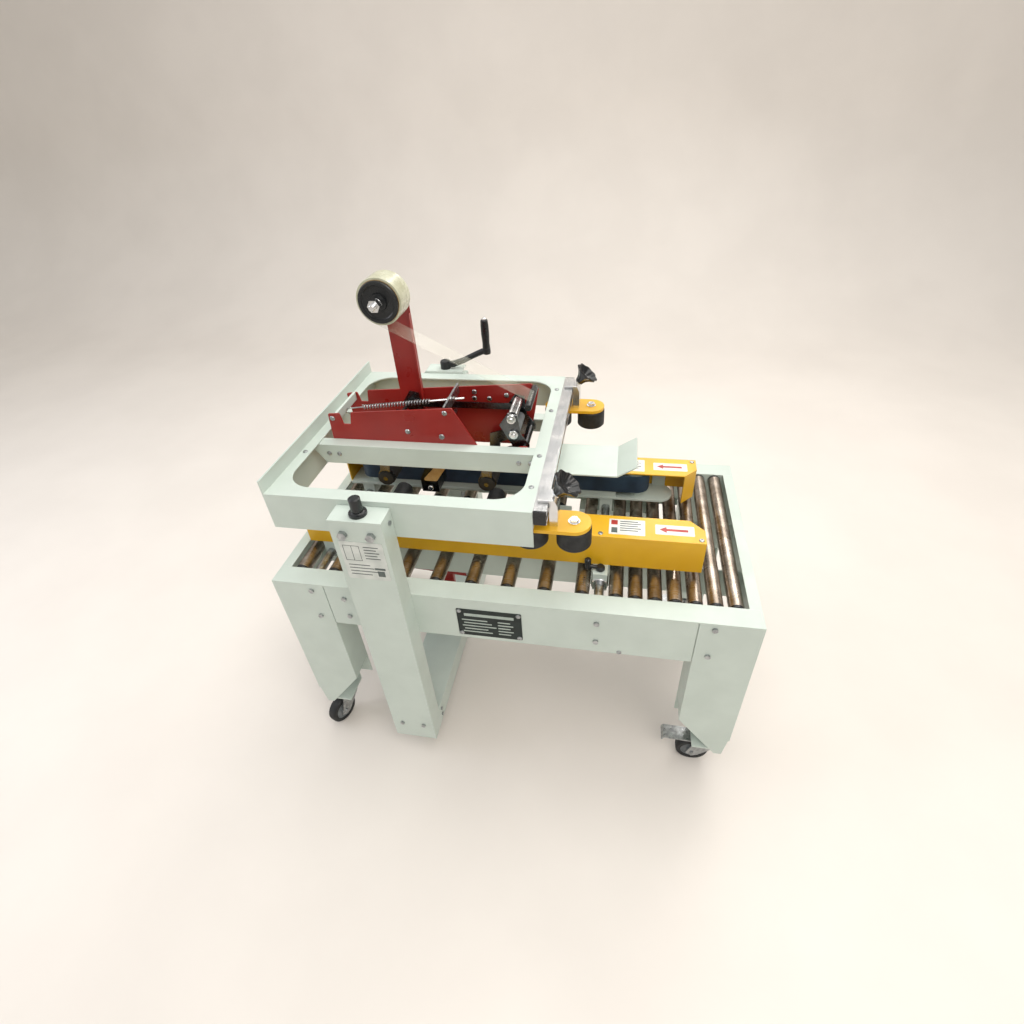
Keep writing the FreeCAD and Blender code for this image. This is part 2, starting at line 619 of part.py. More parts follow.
def belt_carriage():
    """The base plate with its drums, backing bar and the clamps that slide on the cross shafts."""
    base_end = "(cover_end-48)"
    base_y = "-cover_outer+gauge+1"
    width = "(cover_outer-gauge-1-cover_inner+1)"
    base = box("base_plate", ("cover_start+gauge+1", base_y, "cover_foot"),
        (f"{base_end}-cover_start-gauge-1-{width}/2", width, 6))
    base_round = rod("base_round", width, 6, (f"{base_end}-{width}/2", f"{base_y}+{width}/2",
        "cover_foot"))
    drums = []
    for x in ("drive_drum", "idler_drum"):
        drums.append(rod("belt_drum", "drum_dia", "belt_width-2", (x, f"-{DRUM_Y}", "belt_foot+1")))
        drums.append(rod("drum_boss", 30, "belt_foot+2-cover_foot", (x, f"-{DRUM_Y}", "cover_foot+1")))
    backing = box("belt_backing", ("drive_drum+45", "-belt_face-belt_gauge-9", "cover_foot+1"),
                  ("idler_drum-drive_drum-90", 8.7, "belt_foot+belt_width-6-cover_foot"))
    stays = [box("cover_stay", (x, "-cover_outer+gauge", "cover_foot+1"),
        (30, 6, 40)) for x in ("drive_drum+60", "idler_drum+40")]
    solids = [base, base_round, *drums, backing, *stays]
    clamps = []
    for x in ("front_shaft", "rear_shaft"):
        reach = 30 if x == "front_shaft" else 0
        block = box("shaft_clamp", (f"{x}-clamp_width/2", f"-cover_outer-{reach}", "shaft_z-16"),
            ("clamp_width", f"cover_outer+{reach}-cover_inner-4", "cover_foot-shaft_z+16"))
        clamps.append(block)
    bores = [rod("shaft_bore", "shaft_dia+2*running", 300, (x, -300, "shaft_z"),
        "y") for x in ("front_shaft", "rear_shaft")]
    lever_hole = rod("lever_hole", "axle_dia+2*running", 12,
        ("front_shaft", "-cover_outer-15", "cover_foot-9"))
    return cut("belt_carriage", fuse("carriage_solid", *solids, *clamps), *bores, lever_hole)


def belt_lever():
    """The black lever that locks the near unit to its cross shaft."""
    stem_z = "cover_foot-8"
    stem = rod("lever_stem", "axle_dia", 16, ("front_shaft", "-cover_outer-15", stem_z))
    hub = rod("lever_hub", 18, 8, ("front_shaft", "-cover_outer-15", "cover_foot+1.3"))
    arm = box("lever_arm", ("front_shaft-26", "-cover_outer-19", "cover_foot+3"), (26, 8, 6))
    knob = rod("lever_knob", 14, 26, ("front_shaft-26", "-cover_outer-15", "cover_foot+3"))
    return fuse("belt_lever", stem, hub, arm, knob)


near_cover, near_belt, near_carriage = belt_cover(), side_belt(), belt_carriage()
for part_name, source in (("belt_cover", near_cover), ("side_belt", near_belt),
    ("belt_carriage", near_carriage)):
    node(part_name + "_near", source)
    node(part_name + "_far", mirrored(part_name + "_far", source))
node("belt_lever", belt_lever())

# ---------------------------------------------------------------- tape heads
NEAR_PLATE = [(-390, "head_foot+64"), (-388, "head_foot+122"), (-362, "head_foot+124"),
    (-358, "head_foot+99"), (-342, "head_foot+99"), (-336, "head_foot+127"), (-117,
    "head_foot+145"), (-75, "head_foot+66"),
              (-40, "head_foot"), (-362, "head_foot")]
FAR_PLATE = [(-395, "head_foot+64"), (-398, "head_foot+112"), (-372, "head_foot+116"),
    (-367, "head_foot+93"), (-350, "head_foot+93"), (-346, "head_foot+121"), (25, "head_foot+148"), (41,
    "head_foot+137"),
             (16, "head_foot"), (-362, "head_foot")]
BOLTS = [(-133, "head_foot+134"), (-218, "head_foot+88")]


def head_plates():
    """The two red side plates with what ties them; the arms hang on three of the rods."""
    near = plate("near_plate", NEAR_PLATE, "-head_half-gauge", "gauge")
    far = plate("far_plate", FAR_PLATE, "head_half", "gauge")
    lug = plate("pivot_lug", [(-60, "head_foot"), (-60, "head_foot+20"), ("pivot_x-6", "pivot_z+9"),
        ("pivot_x+9", "pivot_z+9"),
                              ("pivot_x+9", "head_foot")], "-head_half-gauge", "gauge")
    full = "2*(head_half+gauge)+6"
    rods = [rod("head_rod", "axle_dia", full, (x, "-head_half-gauge-3", z), "y")
            for x, z in ((-146, "head_foot+79"), ("pivot_x", "pivot_z"),
                ("pivot_x-arm_pitch", "pivot_z"))]
    bolts = [rod("head_bolt", 12, full, (x, "-head_half-gauge-3", z), "y") for x, z in BOLTS]
    between = box("head_between", (-420, "-head_half", "head_foot-102"), (480, "2*head_half", 300))
    hook_bar = box("hook_bar", (-382, "-head_half-0.5", "head_foot+98"), (6, "2*head_half+1", 18))
    cross_bar = box("cross_bar", (-136, "-head_half-0.5", "head_foot+123"), (4, "2*head_half+1", 23))
    bar_hole = rod("cross_bar_hole", 8, 20, (-145, 0, "head_foot+135"), "x")
    guide = rod("top_guide", "axle_dia+6", "head_half+38", (33, -38, "head_foot+141"), "y")
    return [near, far, lug, *rods, cut("head_bolts", fuse("bolt_rods", *bolts), between), hook_bar,
            cut("cross_bar_bored", cross_bar, bar_hole), guide]


def reel_holder(x, z):
    """The upright red strip and the threaded spindle that carry the tape reel."""
    strip = box("reel_strip", (f"{x}-27", "head_half-gauge", "head_foot+58"),
        (54, "gauge+0.5", f"{z}+18-head_foot-58"))
    tip = rod("reel_strip_tip", 54, "gauge", (x, "head_half-gauge", f"{z}+14"), "y")
    spindle = rod("reel_spindle", "spindle_dia", "head_half+62", (x, -62, z), "y")
    stop_start = "tape_width/2+0.3"
    stop = rod("reel_stop", 26, f"head_half-gauge-{stop_start}", (x, stop_start, z), "y")
    spring = rod("spindle_spring", 17, 9, (x, "-tape_width/2-6.3-9", z), "y")
    nut = hexagon("spindle_nut", 22, 12, (x, "-tape_width/2-6.3-21", z), "y")
    return [strip, tip, spindle, stop, spring, nut]


def seal_arm(name, shift):
    """A wiper arm: two bent plates, its rubber roller and its cross pins, hung on a pivot rod."""
    p, a, w = f"pivot_x-{shift}", f"apex_x-{shift}", f"wiper_x-{shift}"
    near = plate(name + "_plate", [
        (f"{p}+11", "pivot_z+4"), (f"{a}+28", "apex_z-20"), (f"{a}+24", "apex_z+22"), (f"{a}+4",
        "apex_z+26"), (f"{a}-14", "apex_z"),
        (f"{p}-24", "pivot_z+1"), (f"{w}-4", "pivot_z-22"), (f"{w}-12", "wiper_z"), (f"{w}-4",
        "wiper_z-12"),
        (f"{w}+8", "wiper_z-9"), (f"{w}+18", "pivot_z-44"), (f"{p}-2", "pivot_z-12"), (f"{p}+10",
        "pivot_z-6")],
        "-arm_y-arm_plate", "arm_plate")
    plates = [near, mirrored(name + "_plate_far", near)]
    pivot_bore = rod(name + "_bore", "axle_dia+2*running", "2*head_half", (p, "-head_half", "pivot_z"),
        "y")
    sleeve = rod(name + "_sleeve", 16, "2*arm_y+2", (p, "-arm_y-1", "pivot_z"), "y")
    wiper = rod(name + "_wiper", "wiper_dia", "2*arm_y-3", (w, "-arm_y+1.5", "wiper_z"), "y")
    pins = [rod(name + "_pin", 10, "2*(arm_y+arm_plate)+8", (w, "-arm_y-arm_plate-4", "wiper_z"), "y"),
            rod(name + "_pin", "axle_dia", "2*(arm_y+arm_plate)", (a, "-arm_y-arm_plate", "apex_z"),
                "y")]
    return cut(name + "_frame", fuse(name + "_solid", *plates, sleeve, wiper, *pins), pivot_bore)


def tape_rollers():
    """The knurled and the plain roller that lead the tape over the front arm."""
    rollers = []
    for dia, x, z, inset in ((18, "apex_x+12", "apex_z+16", 3), (20, "apex_x+15", "apex_z-19", 9)):
        rollers.append(rod("tape_roller", dia, f"2*(arm_y-{inset})", (x, f"-arm_y+{inset}", z), "y"))
        rollers.append(rod("tape_axle", "axle_dia", "2*(arm_y+arm_plate)+6",
            (x, "-arm_y-arm_plate-3", z), "y"))
    return rollers


def seal_link():
    """The flat bar that makes both wiper arms move together."""
    bar = box("link_bar", ("apex_x-arm_pitch", "arm_y-6", "apex_z-7"), ("arm_pitch", 4, 14))
    ends = [rod("link_end", 14, 4, (x, "arm_y-6", "apex_z"), "y") for x in ("apex_x",
        "apex_x-arm_pitch")]
    holes = [rod("link_hole", "axle_dia+2*running", 8, (x, "arm_y-8", "apex_z"),
        "y") for x in ("apex_x", "apex_x-arm_pitch")]
    return cut("seal_link", fuse("link_solid", bar, *ends), *holes)


def cutter_arm():
    """The sprung knife holder between the two wipers, hung on a tie rod."""
    hang = plate("cutter_hang", [
        (-138, "head_foot+86"), (-154, "head_foot+88"), (-222, "head_foot-52"), (-222, "head_foot-86"),
        (-182, "head_foot-86"), (-182, "head_foot-54")], -30, 3)
    block = box("knife_block", (-222, -30, "head_foot-84"), (40, 60, 30))
    sleeve = rod("cutter_sleeve", 15, 60, (-146, -30, "head_foot+79"), "y")
    bore = rod("cutter_bore", "axle_dia+2*running", 80, (-146, -40, "head_foot+79"), "y")
    return cut("cutter_arm", fuse("cutter_solid", hang, mirrored("cutter_hang_far", hang), block,
        sleeve), bore)


def main_spring():
    """The long tension spring from the hook bar, with its threaded rod; drawn as its outer size."""
    coil = rod("spring_coil", 10, 156, (40, 0, 0), "x")
    eye = rod("spring_eye", 3, 42, (0.3, 0, 0), "x")
    stem = rod("spring_stem", 5, 78, (195, 0, 0), "x")
    rise = FreeCAD.Rotation(FreeCAD.Vector(0, 1, 0), -7.3)
    return place(group("main_spring", fuse("spring_shape", coil, eye, stem)),
        (-376, 0, "head_foot+104"), rise)


def tape_reel(x, z):
    """A part-used roll of tape on its plastic hub, free on the spindle."""
    tape = rod("tape_roll", "tape_dia", "tape_width", (x, "-tape_width/2", z), "y")
    disc = rod("reel_disc", "core_dia+2", 6, (x, "-tape_width/2-6", z), "y")
    bore = rod("reel_bore", "spindle_dia+2*running", 80, (x, -40, z), "y")
    return cut("reel_shape", fuse("reel_solid", tape, disc), bore)


HEAD_PARTS = {
    "head_plates": fuse("upper_head", *head_plates(), *reel_holder("reel_x", "reel_z")),
    "front_arm": fuse("upper_front_arm", seal_arm("front_arm", "0"), *tape_rollers()),
    "rear_arm": seal_arm("rear_arm", "arm_pitch"),
    "tape_reel": tape_reel("reel_x", "reel_z"),
}
for part_name, source in HEAD_PARTS.items():
    node("upper_" + part_name, source)
    node("lower_" + part_name, mirrored("lower_" + part_name, source, "z", "head_mirror"))
node("seal_link", seal_link())
node("cutter_arm", cutter_arm())
node("main_spring", main_spring())

# ---------------------------------------------------------------- switch box
BOX_FACE = f"({HALF_W}-gauge)"
BUTTON_X = "(box_start+box_length/2)"
BUTTON_Z = f"({RAIL_FOOT}-box_height/2)"


def switch_box():
    """The steel box under the far rail with the mains inlet's gland and the button's collar."""
    case = box("box_case", ("box_start", f"{BOX_FACE}-box_depth", f"{RAIL_FOOT}-box_height"),
        ("box_length", "box_depth", "box_height"))
    collar = rod("button_collar", "button_dia+8", 4, (BUTTON_X, f"{BOX_FACE}-1", BUTTON_Z), "y")
    shaft_hole = rod("button_hole", "button_dia/2+0.6", 30, (BUTTON_X, f"{BOX_FACE}-20", BUTTON_Z), "y")
    gland = rod("inlet_gland", 20, 16, ("box_start+box_length-1", f"{BOX_FACE}-box_depth/2", BUTTON_Z),
        "x")
    gland_hole = rod("inlet_hole", 9, 14, ("box_start+box_length+3", f"{BOX_FACE}-box_depth/2",
        BUTTON_Z), "x")
    return cut("switch_box", fuse("box_solid", case, collar, gland), shaft_hole, gland_hole)


def stop_button():
    """The mushroom button that stops the belts."""
    head = rod("button_head", "button_dia", 10, (BUTTON_X, f"{BOX_FACE}+9", BUTTON_Z), "y")
    stem = rod("button_stem", "button_dia/2", 20, (BUTTON_X, f"{BOX_FACE}-10", BUTTON_Z), "y")
    return fuse("stop_button", head, stem)


node("switch_box", switch_box())
node("stop_button", stop_button())

# ---------------------------------------------------------------- fasteners


def frame_bolts():
    """The bolt heads and nuts of the rails, legs, columns and base beam."""
    face = f"-{HALF_W}-4"
    near = []
    for x, z in ((f"-({HALF_L}-88)", "table_top-19"), (f"-({HALF_L}-88)", "table_top-98"),
        (f"{HALF_L}-88", "table_top-16"),
                 (f"{HALF_L}-90", "table_top-95"), (f"-({HALF_L}-leg_width-42)", "table_top-35"),
                 (f"-({HALF_L}-leg_width-42)", "table_top-89"), ("front_shaft",
                 "table_top-32"), ("front_shaft", "table_top-86")):
        near.append(rod("rail_bolt", "bolt_dia", 4, (x, face, z), "y"))
    column_face = f"-{HALF_W}-column_depth"
    for x in ("column_x-27", "column_x+27"):
        near.append(hexagon("column_nut", 16, 8, (x, f"{column_face}-8", "column_top-31"), "y"))
        near.append(rod("column_bolt", 10, 4, (x, f"{column_face}-4", "beam_top+1"), "y"))
    near.append(rod("column_side_bolt", 9, 3, ("column_x+column_width/2", f"-{HALF_W}-16",
        "column_top-22"), "x"))
    for z in ("column_foot+16", "beam_top-16"):
        near.append(rod("beam_bolt", 9, 3, ("column_x+column_width/2", f"-{HALF_W}+14", z), "x"))
    return group("near_bolts", *near)


node("frame_bolts", pair("frame_bolts", frame_bolts()))

faults = []
doc.recompute()
os.makedirs("parts", exist_ok=True)
for item in doc.Objects:
    if {"Invalid", "Error"} & set(item.State):
        faults.append(f"{item.Name}: {item.State}")
for item in NODES:
    if item.Shape.isNull() or not item.Shape.isValid():
        faults.append(f"{item.Label}: bad shape")
if faults:
    raise RuntimeError("; ".join(faults))
for item in NODES:
    item.Shape.exportStep(f"parts/{item.Label}.step")
    print(item.Label, len(item.Shape.Solids), [round(v, 1) for v in (
        item.Shape.BoundBox.XMin, item.Shape.BoundBox.YMin, item.Shape.BoundBox.ZMin,
        item.Shape.BoundBox.XMax, item.Shape.BoundBox.YMax, item.Shape.BoundBox.ZMax)])
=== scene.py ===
import json
from math import asin, atan2, cos, pi, radians, sin, tan

import bmesh
import bpy
from mathutils import Matrix, Vector


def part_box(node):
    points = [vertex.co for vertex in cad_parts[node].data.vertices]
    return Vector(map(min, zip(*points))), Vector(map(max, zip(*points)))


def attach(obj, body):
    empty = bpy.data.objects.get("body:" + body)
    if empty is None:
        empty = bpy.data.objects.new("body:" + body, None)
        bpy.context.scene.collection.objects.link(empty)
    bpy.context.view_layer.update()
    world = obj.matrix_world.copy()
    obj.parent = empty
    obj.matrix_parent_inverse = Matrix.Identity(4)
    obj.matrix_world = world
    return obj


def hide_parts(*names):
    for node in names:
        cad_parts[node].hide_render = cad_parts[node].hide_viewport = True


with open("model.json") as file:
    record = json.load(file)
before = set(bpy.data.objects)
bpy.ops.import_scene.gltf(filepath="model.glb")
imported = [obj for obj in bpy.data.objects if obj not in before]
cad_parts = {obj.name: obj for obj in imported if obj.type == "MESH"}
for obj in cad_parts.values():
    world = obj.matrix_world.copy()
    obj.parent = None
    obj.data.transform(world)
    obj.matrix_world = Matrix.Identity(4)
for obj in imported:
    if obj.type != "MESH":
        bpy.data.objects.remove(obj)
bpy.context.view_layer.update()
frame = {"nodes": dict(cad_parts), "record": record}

# ------------------------------------------------ painted table, legs, columns and base beam
# Folded mild steel sheet, 3 mm thick, welded and bolted up. It is coated with a pale mint polyester
# powder, which flows out to a satin skin with a faint orange peel; its folds carry a painted highlight.
MM = 0.001
MINT_CLEAN = "#c6d2ca"
MINT_SOILED = "#c0ccc4"
# painted highlight: the brighter colour that the folds get
MINT_FOLD_HIGHLIGHT = "#dfe8e1"
PEEL_MM = 2.0
SOIL_MM = 90
FOLD_RADIUS_MM = 1.2


def linear(colour):
    """An sRGB hex colour as the linear RGBA that a shader takes."""
    parts = [int(colour[i:i + 2], 16) / 255 for i in (1, 3, 5)]
    return (*[c / 12.92 if c <= 0.04045 else ((c + 0.055) / 1.055) ** 2.4 for c in parts], 1)


def add(tree, kind, inputs, **settings):
    """A shader node with its settings. Each input is a value or another node's output."""
    made = tree.nodes.new("ShaderNode" + kind)
    for name, value in settings.items():
        setattr(made, name, value)
    for name, value in inputs.items():
        if isinstance(value, bpy.types.NodeSocket):
            tree.links.new(value, made.inputs[name])
        else:
            made.inputs[name].default_value = value
    return made


def per_mm(size):
    """A texture's scale for features of a size in millimetres."""
    return 1 / (size * MM)


def finish_of(name, metallic, **inputs):
    """A new material: its tree, its shader's settings and the object's own coordinates."""
    material = bpy.data.materials.new(name)
    material.use_nodes = True
    tree = material.node_tree
    shader = tree.nodes["Principled BSDF"]
    shader.inputs["Metallic"].default_value = metallic
    for key, value in inputs.items():
        shader.inputs[key.replace("_", " ")].default_value = value
    place = add(tree, "TexCoord", {}).outputs["Object"]
    return material, tree, shader, place


def blotches(tree, place, size, low, high, detail=4):
    """A soft noise of a real size, between two colours."""
    noise = add(tree, "TexNoise", {"Vector": place, "Scale": per_mm(size), "Detail": detail})
    ramp = add(tree, "ValToRGB", {"Fac": noise.outputs["Fac"]})
    ramp.color_ramp.elements[0].position = 0.38
    ramp.color_ramp.elements[1].position = 0.64
    ramp.color_ramp.elements[0].color = linear(low)
    ramp.color_ramp.elements[1].color = linear(high)
    return ramp.outputs["Color"]


def gloss_range(tree, shader, place, size, low, high):
    """Roughness that drifts between two values over a real size."""
    noise = add(tree, "TexNoise", {"Vector": place, "Scale": per_mm(size), "Detail": 3.0})
    spread = add(tree, "MapRange", {"Value": noise.outputs["Fac"], "From Min": 0.3, "From Max": 0.7,
                                    "To Min": low, "To Max": high})
    tree.links.new(spread.outputs["Result"], shader.inputs["Roughness"])


def relief(tree, shader, height, depth_mm, under=None):
    """A bump of a real depth, over another normal if there is one."""
    inputs = {"Height": height, "Distance": depth_mm * MM, "Strength": 0.6}
    if under is not None:
        inputs["Normal"] = under
    bump = add(tree, "Bump", inputs)
    tree.links.new(bump.outputs["Normal"], shader.inputs["Normal"])


def powder_coat(name, clean, soiled, edge, roughness):
    """Powder coat: orange peel, handling marks and a painted highlight in a brighter colour over the folds.
    """
    material, tree, shader, place = finish_of(name, 0, IOR=1.5, Coat_Weight=0.15, Coat_Roughness=0.25)
    fold = add(tree, "Bevel", {"Radius": FOLD_RADIUS_MM * MM}, samples=4)
    flat = add(tree, "NewGeometry", {})
    facing = add(tree, "VectorMath", {0: fold.outputs["Normal"], 1: flat.outputs["Normal"]},
                 operation="DOT_PRODUCT")
    # Painted highlight: where the bevelled normal turns away from the face, the folds get the brighter edge
    # colour.
    wear_and_fold_highlight = add(tree, "MapRange", {"Value": facing.outputs["Value"], "From Min": 0.995, "From Max": 0.8,
                                  "To Min": 0.0, "To Max": 0.7})
    body = blotches(tree, place, SOIL_MM, soiled, clean)
    colour = add(tree, "Mix", {"Factor": wear_and_fold_highlight.outputs["Result"], "A": body, "B": linear(edge)},
                 data_type="RGBA")
    tree.links.new(colour.outputs["Result"], shader.inputs["Base Color"])
    gloss_range(tree, shader, place, 35, roughness - 0.06, roughness + 0.1)
    peel = add(tree, "TexNoise", {"Vector": place, "Scale": per_mm(PEEL_MM), "Detail": 2.0})
    relief(tree, shader, peel.outputs["Fac"], 0.05, fold.outputs["Normal"])
    return material


def coat(material, *names):
    """Gives carried-over nodes a material."""
    for name in names:
        carried = frame["nodes"][name]
        if not carried.material_slots:
            carried.data.materials.append(material)
        for held in carried.material_slots:
            held.material = material


mint = powder_coat("mint_powder_coat", MINT_CLEAN, MINT_SOILED, MINT_FOLD_HIGHLIGHT, 0.42)
coat(mint, "side_rails", "cross_rails", "legs", "columns", "base_beam", "upper_frame", "infeed_skid",
     "belt_carriage_near", "belt_carriage_far", "switch_box")

# ------------------------------------------------ bolts, screws and axles of the frame
# Carbon steel fasteners and axles, cold headed and zinc plated, which leaves a grey metal with a fine
# crystal mottle. They are screwed through the sheet.
ZINC = "#bcbfc0"
ZINC_DULL = "#999c9e"
CRYSTAL_MM = 1.6

ORDER = {"x": (2, 0, 1), "y": (0, 2, 1), "z": (0, 1, 2)}


def zinc_plate(name, bright, dull):
    material, tree, shader, place = finish_of(name, 1)
    tree.links.new(blotches(tree, place, 9, dull, bright), shader.inputs["Base Color"])
    gloss_range(tree, shader, place, 5, 0.24, 0.44)
    crystal = add(tree, "TexVoronoi", {"Vector": place, "Scale": per_mm(CRYSTAL_MM)})
    relief(tree, shader, crystal.outputs["Distance"], 0.03)
    return material


def spot(a, b, along, axis):
    """A point in metres, from a section's two coordinates and the distance along its axis."""
    local = (a, b, along)
    return Vector([local[k] for k in ORDER[axis]]) * MM


def prism(bm, outline, low, high, axis):
    """A flat outline pushed along an axis. Returns its vertices."""
    rings = [[bm.verts.new(spot(a, b, level, axis)) for a, b in outline] for level in (low, high)]
    count = len(outline)
    bm.faces.new(rings[0])
    bm.faces.new(rings[1])
    for i in range(count):
        j = (i + 1) % count
        bm.faces.new((rings[0][i], rings[0][j], rings[1][j], rings[1][i]))
    return rings[0] + rings[1]


def lathe(bm, profile, centre, axis, ring=False, steps=40, lobes=0, lobe_depth=0.0):
    """A profile of (radius, distance along) turned round an axis; a ring's profile closes on itself."""
    a0, b0, along0 = centre
    rings = []
    for radius, along in profile:
        if radius == 0:
            rings.append([bm.verts.new(spot(a0, b0, along0 + along, axis))])
            continue
        loop = []
        for i in range(steps):
            angle = 2 * pi * i / steps
            reach = radius * (1 + lobe_depth * cos(lobes * angle))
            loop.append(bm.verts.new(spot(a0 + reach * cos(angle), b0 + reach * sin(angle),
                                          along0 + along, axis)))
        rings.append(loop)
    joins = list(zip(rings, rings[1:])) + ([(rings[-1], rings[0])] if ring else [])
    for one, two in joins:
        for i in range(steps):
            j = (i + 1) % steps
            corners = [one[i % len(one)], one[j % len(one)], two[j % len(two)], two[i % len(two)]]
            bm.faces.new(list(dict.fromkeys(corners)))
    return [vert for loop in rings for vert in loop]


def hexagon(bm, across, low, high, centre, axis):
    reach = across / 2 / cos(pi / 6)
    corners = [(centre[0] + reach * cos(pi / 3 * i), centre[1] + reach * sin(pi / 3 * i)) for i in range(6)]
    return prism(bm, corners, low, high, axis)


def piece(name, bm, material, body, bevel_mm=0.3, stands_for=()):
    """Turns built mesh into a piece of the object that rides on a CAD body."""
    bmesh.ops.recalc_face_normals(bm, faces=bm.faces)
    mesh = bpy.data.meshes.new(name)
    bm.to_mesh(mesh)
    bm.free()
    mesh.shade_smooth()
    mesh.set_sharp_from_angle(angle=radians(32))
    made = bpy.data.objects.new(name, mesh)
    bpy.context.scene.collection.objects.link(made)
    mesh.materials.append(material)
    if bevel_mm:
        edge = made.modifiers.new("worked_edge", "BEVEL")
        edge.width = bevel_mm * MM
        edge.segments = 2
        edge.limit_method = "ANGLE"
        edge.angle_limit = radians(32)
        edge.harden_normals = True
    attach(made, body)
    if stands_for:
        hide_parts(*stands_for)
    return made


zinc = zinc_plate("zinc_plated_steel", ZINC, ZINC_DULL)
coat(zinc, "frame_bolts", "cross_shafts", "caster_fork_1", "caster_fork_2", "caster_fork_3", "caster_fork_4")

BUTTON_HEAD = [(0, 1.6), (1.9, 1.6), (1.9, 2.6), (3.6, 2.4), (5.0, 1.2), (5.2, 0)]


def screw_heads(name, spots, axis, body, side=1):
    """Button-head screws with their sockets, all facing one way along an axis."""
    bm = bmesh.new()
    for centre in spots:
        lathe(bm, [(radius, side * height) for radius, height in BUTTON_HEAD], centre, axis, steps=20)
    return piece(name, bm, zinc, body, bevel_mm=0)


screw_heads("frame_strip_screws", [(61.5, y, 768) for y in (-196, -92, 92, 196)]
            + [(-424, y, 768) for y in (-120, 120)], "z", "head_carriage")
screw_heads("beam_screws", [(x, 744, -85) for x in (-393, -370, 18, 42)], "y", "head_carriage", side=-1)

# ------------------------------------------------ plates on the near rail and the near column
# A dark anodised aluminium nameplate and a pale drawing plate, both 1 mm sheet, printed and riveted on.
# Their print is only plain bars and boxes.
PLATE_DARK = "#1e2b29"
PLATE_PALE = "#d5d9d4"
PRINT_PALE = "#b9c6be"
PRINT_DARK = "#5b6663"
RAIL_FACE = -269
COLUMN_FACE = -315


def box_outline(low, high):
    return [(low[0], low[1]), (high[0], low[1]), (high[0], high[1]), (low[0], high[1])]


def rounded(corners, radius, steps=5):
    """An outline with each corner turned into an arc."""
    outline = []
    count = len(corners)
    for i, corner in enumerate(corners):
        here = Vector(corner)
        back = Vector(corners[i - 1]) - here
        on = Vector(corners[(i + 1) % count]) - here
        half = back.angle(on) / 2
        reach = min(radius / tan(half), 0.45 * min(back.length, on.length))
        bend = reach * tan(half)
        centre = here + (back.normalized() + on.normalized()).normalized() * (bend / sin(half))
        start = here + back.normalized() * reach - centre
        end = here + on.normalized() * reach - centre
        first = atan2(start.y, start.x)
        sweep = (atan2(end.y, end.x) - first + pi) % (2 * pi) - pi
        for k in range(steps + 1):
            angle = first + sweep * k / steps
            outline.append((centre.x + bend * cos(angle), centre.y + bend * sin(angle)))
    return outline


def printed_sheet(name, colour, tint, metallic):
    """Anodised or lacquered sheet with a fine brushed grain under the print."""
    material, tree, shader, place = finish_of(name, metallic)
    tree.links.new(blotches(tree, place, 25, tint, colour), shader.inputs["Base Color"])
    gloss_range(tree, shader, place, 12, 0.32, 0.5)
    brushed = add(tree, "Mapping", {"Vector": place, "Scale": (0.04, 1.0, 1.0)})
    grain = add(tree, "TexNoise", {"Vector": brushed.outputs["Vector"], "Scale": per_mm(0.6), "Detail": 2.0})
    relief(tree, shader, grain.outputs["Fac"], 0.02)
    return material


def bars(name, boxes, face, axis, material, body, proud=0.25):
    """Printed bars, each a thin raised box on a face."""
    bm = bmesh.new()
    for low, high in boxes:
        prism(bm, box_outline(low, high), face, face + proud, axis)
    return piece(name, bm, material, body, bevel_mm=0)


dark_plate = printed_sheet("dark_anodised_plate", PLATE_DARK, "#16211f", 0.4)
pale_plate = printed_sheet("pale_printed_plate", PLATE_PALE, "#c2c8c3", 0.0)
pale_ink = printed_sheet("pale_print", PRINT_PALE, "#a3b0a9", 0.0)
dark_ink = printed_sheet("dark_print", PRINT_DARK, "#4b5553", 0.0)

bm = bmesh.new()
prism(bm, rounded(box_outline((-94, 424), (42, 504)), 3), RAIL_FACE - 1, RAIL_FACE, "y")
piece("nameplate", bm, dark_plate, "machine_frame", bevel_mm=0.2)
heading = [((-78, 484), (26, 492))]
rows = [((-84 + 4 * (k % 2), 471 - 9 * k), (-30 + 9 * (k % 3), 474 - 9 * k)) for k in range(5)]
values = [((-8, 471 - 9 * k), (18 + 6 * (k % 2), 474 - 9 * k)) for k in range(5)]
bars("nameplate_bars", heading + rows + values, RAIL_FACE - 1.2, "y", pale_ink, "machine_frame")
screw_heads("rail_foot_screw", [(240, 419, RAIL_FACE)], "y", "machine_frame", side=-1)
screw_heads("nameplate_rivets", [(x, z, RAIL_FACE - 1) for x in (-88, 36) for z in (430, 498)], "y",
            "machine_frame", side=-1)

bm = bmesh.new()
prism(bm, rounded(box_outline((-278, 616), (-193, 710)), 3), COLUMN_FACE - 1, COLUMN_FACE, "y")
piece("drawing_plate", bm, pale_plate, "machine_frame", bevel_mm=0.2)
outline_boxes = [((-272, 664), (-240, 665)), ((-272, 700), (-240, 701)), ((-272, 664), (-271, 701)),
                 ((-241, 664), (-240, 701)), ((-256, 664), (-255, 701))]
notes = [((-232, 698 - 7 * k), (-203 - 5 * (k % 2), 700 - 7 * k)) for k in range(5)]
lower_rows = [((-270, 652 - 8 * k), (-228 + 7 * (k % 3), 654 - 8 * k)) for k in range(4)]
stand = [((-216, 626), (-202, 640)), ((-220, 643), (-199, 648))]
bars("drawing_plate_bars", outline_boxes + notes + lower_rows + stand, COLUMN_FACE - 1.2, "y", dark_ink,
     "machine_frame")

# ------------------------------------------------ casters
# Swivel casters with pressed, zinc plated forks. The wheels are black moulded rubber tyres on grey
# nylon centres, which run on plain axles.
TYRE_RADIUS = 37.5
TYRE_HALF = 12
RUBBER = "#191a1b"
RUBBER_DUSTY = "#252728"
NYLON = "#6c7173"


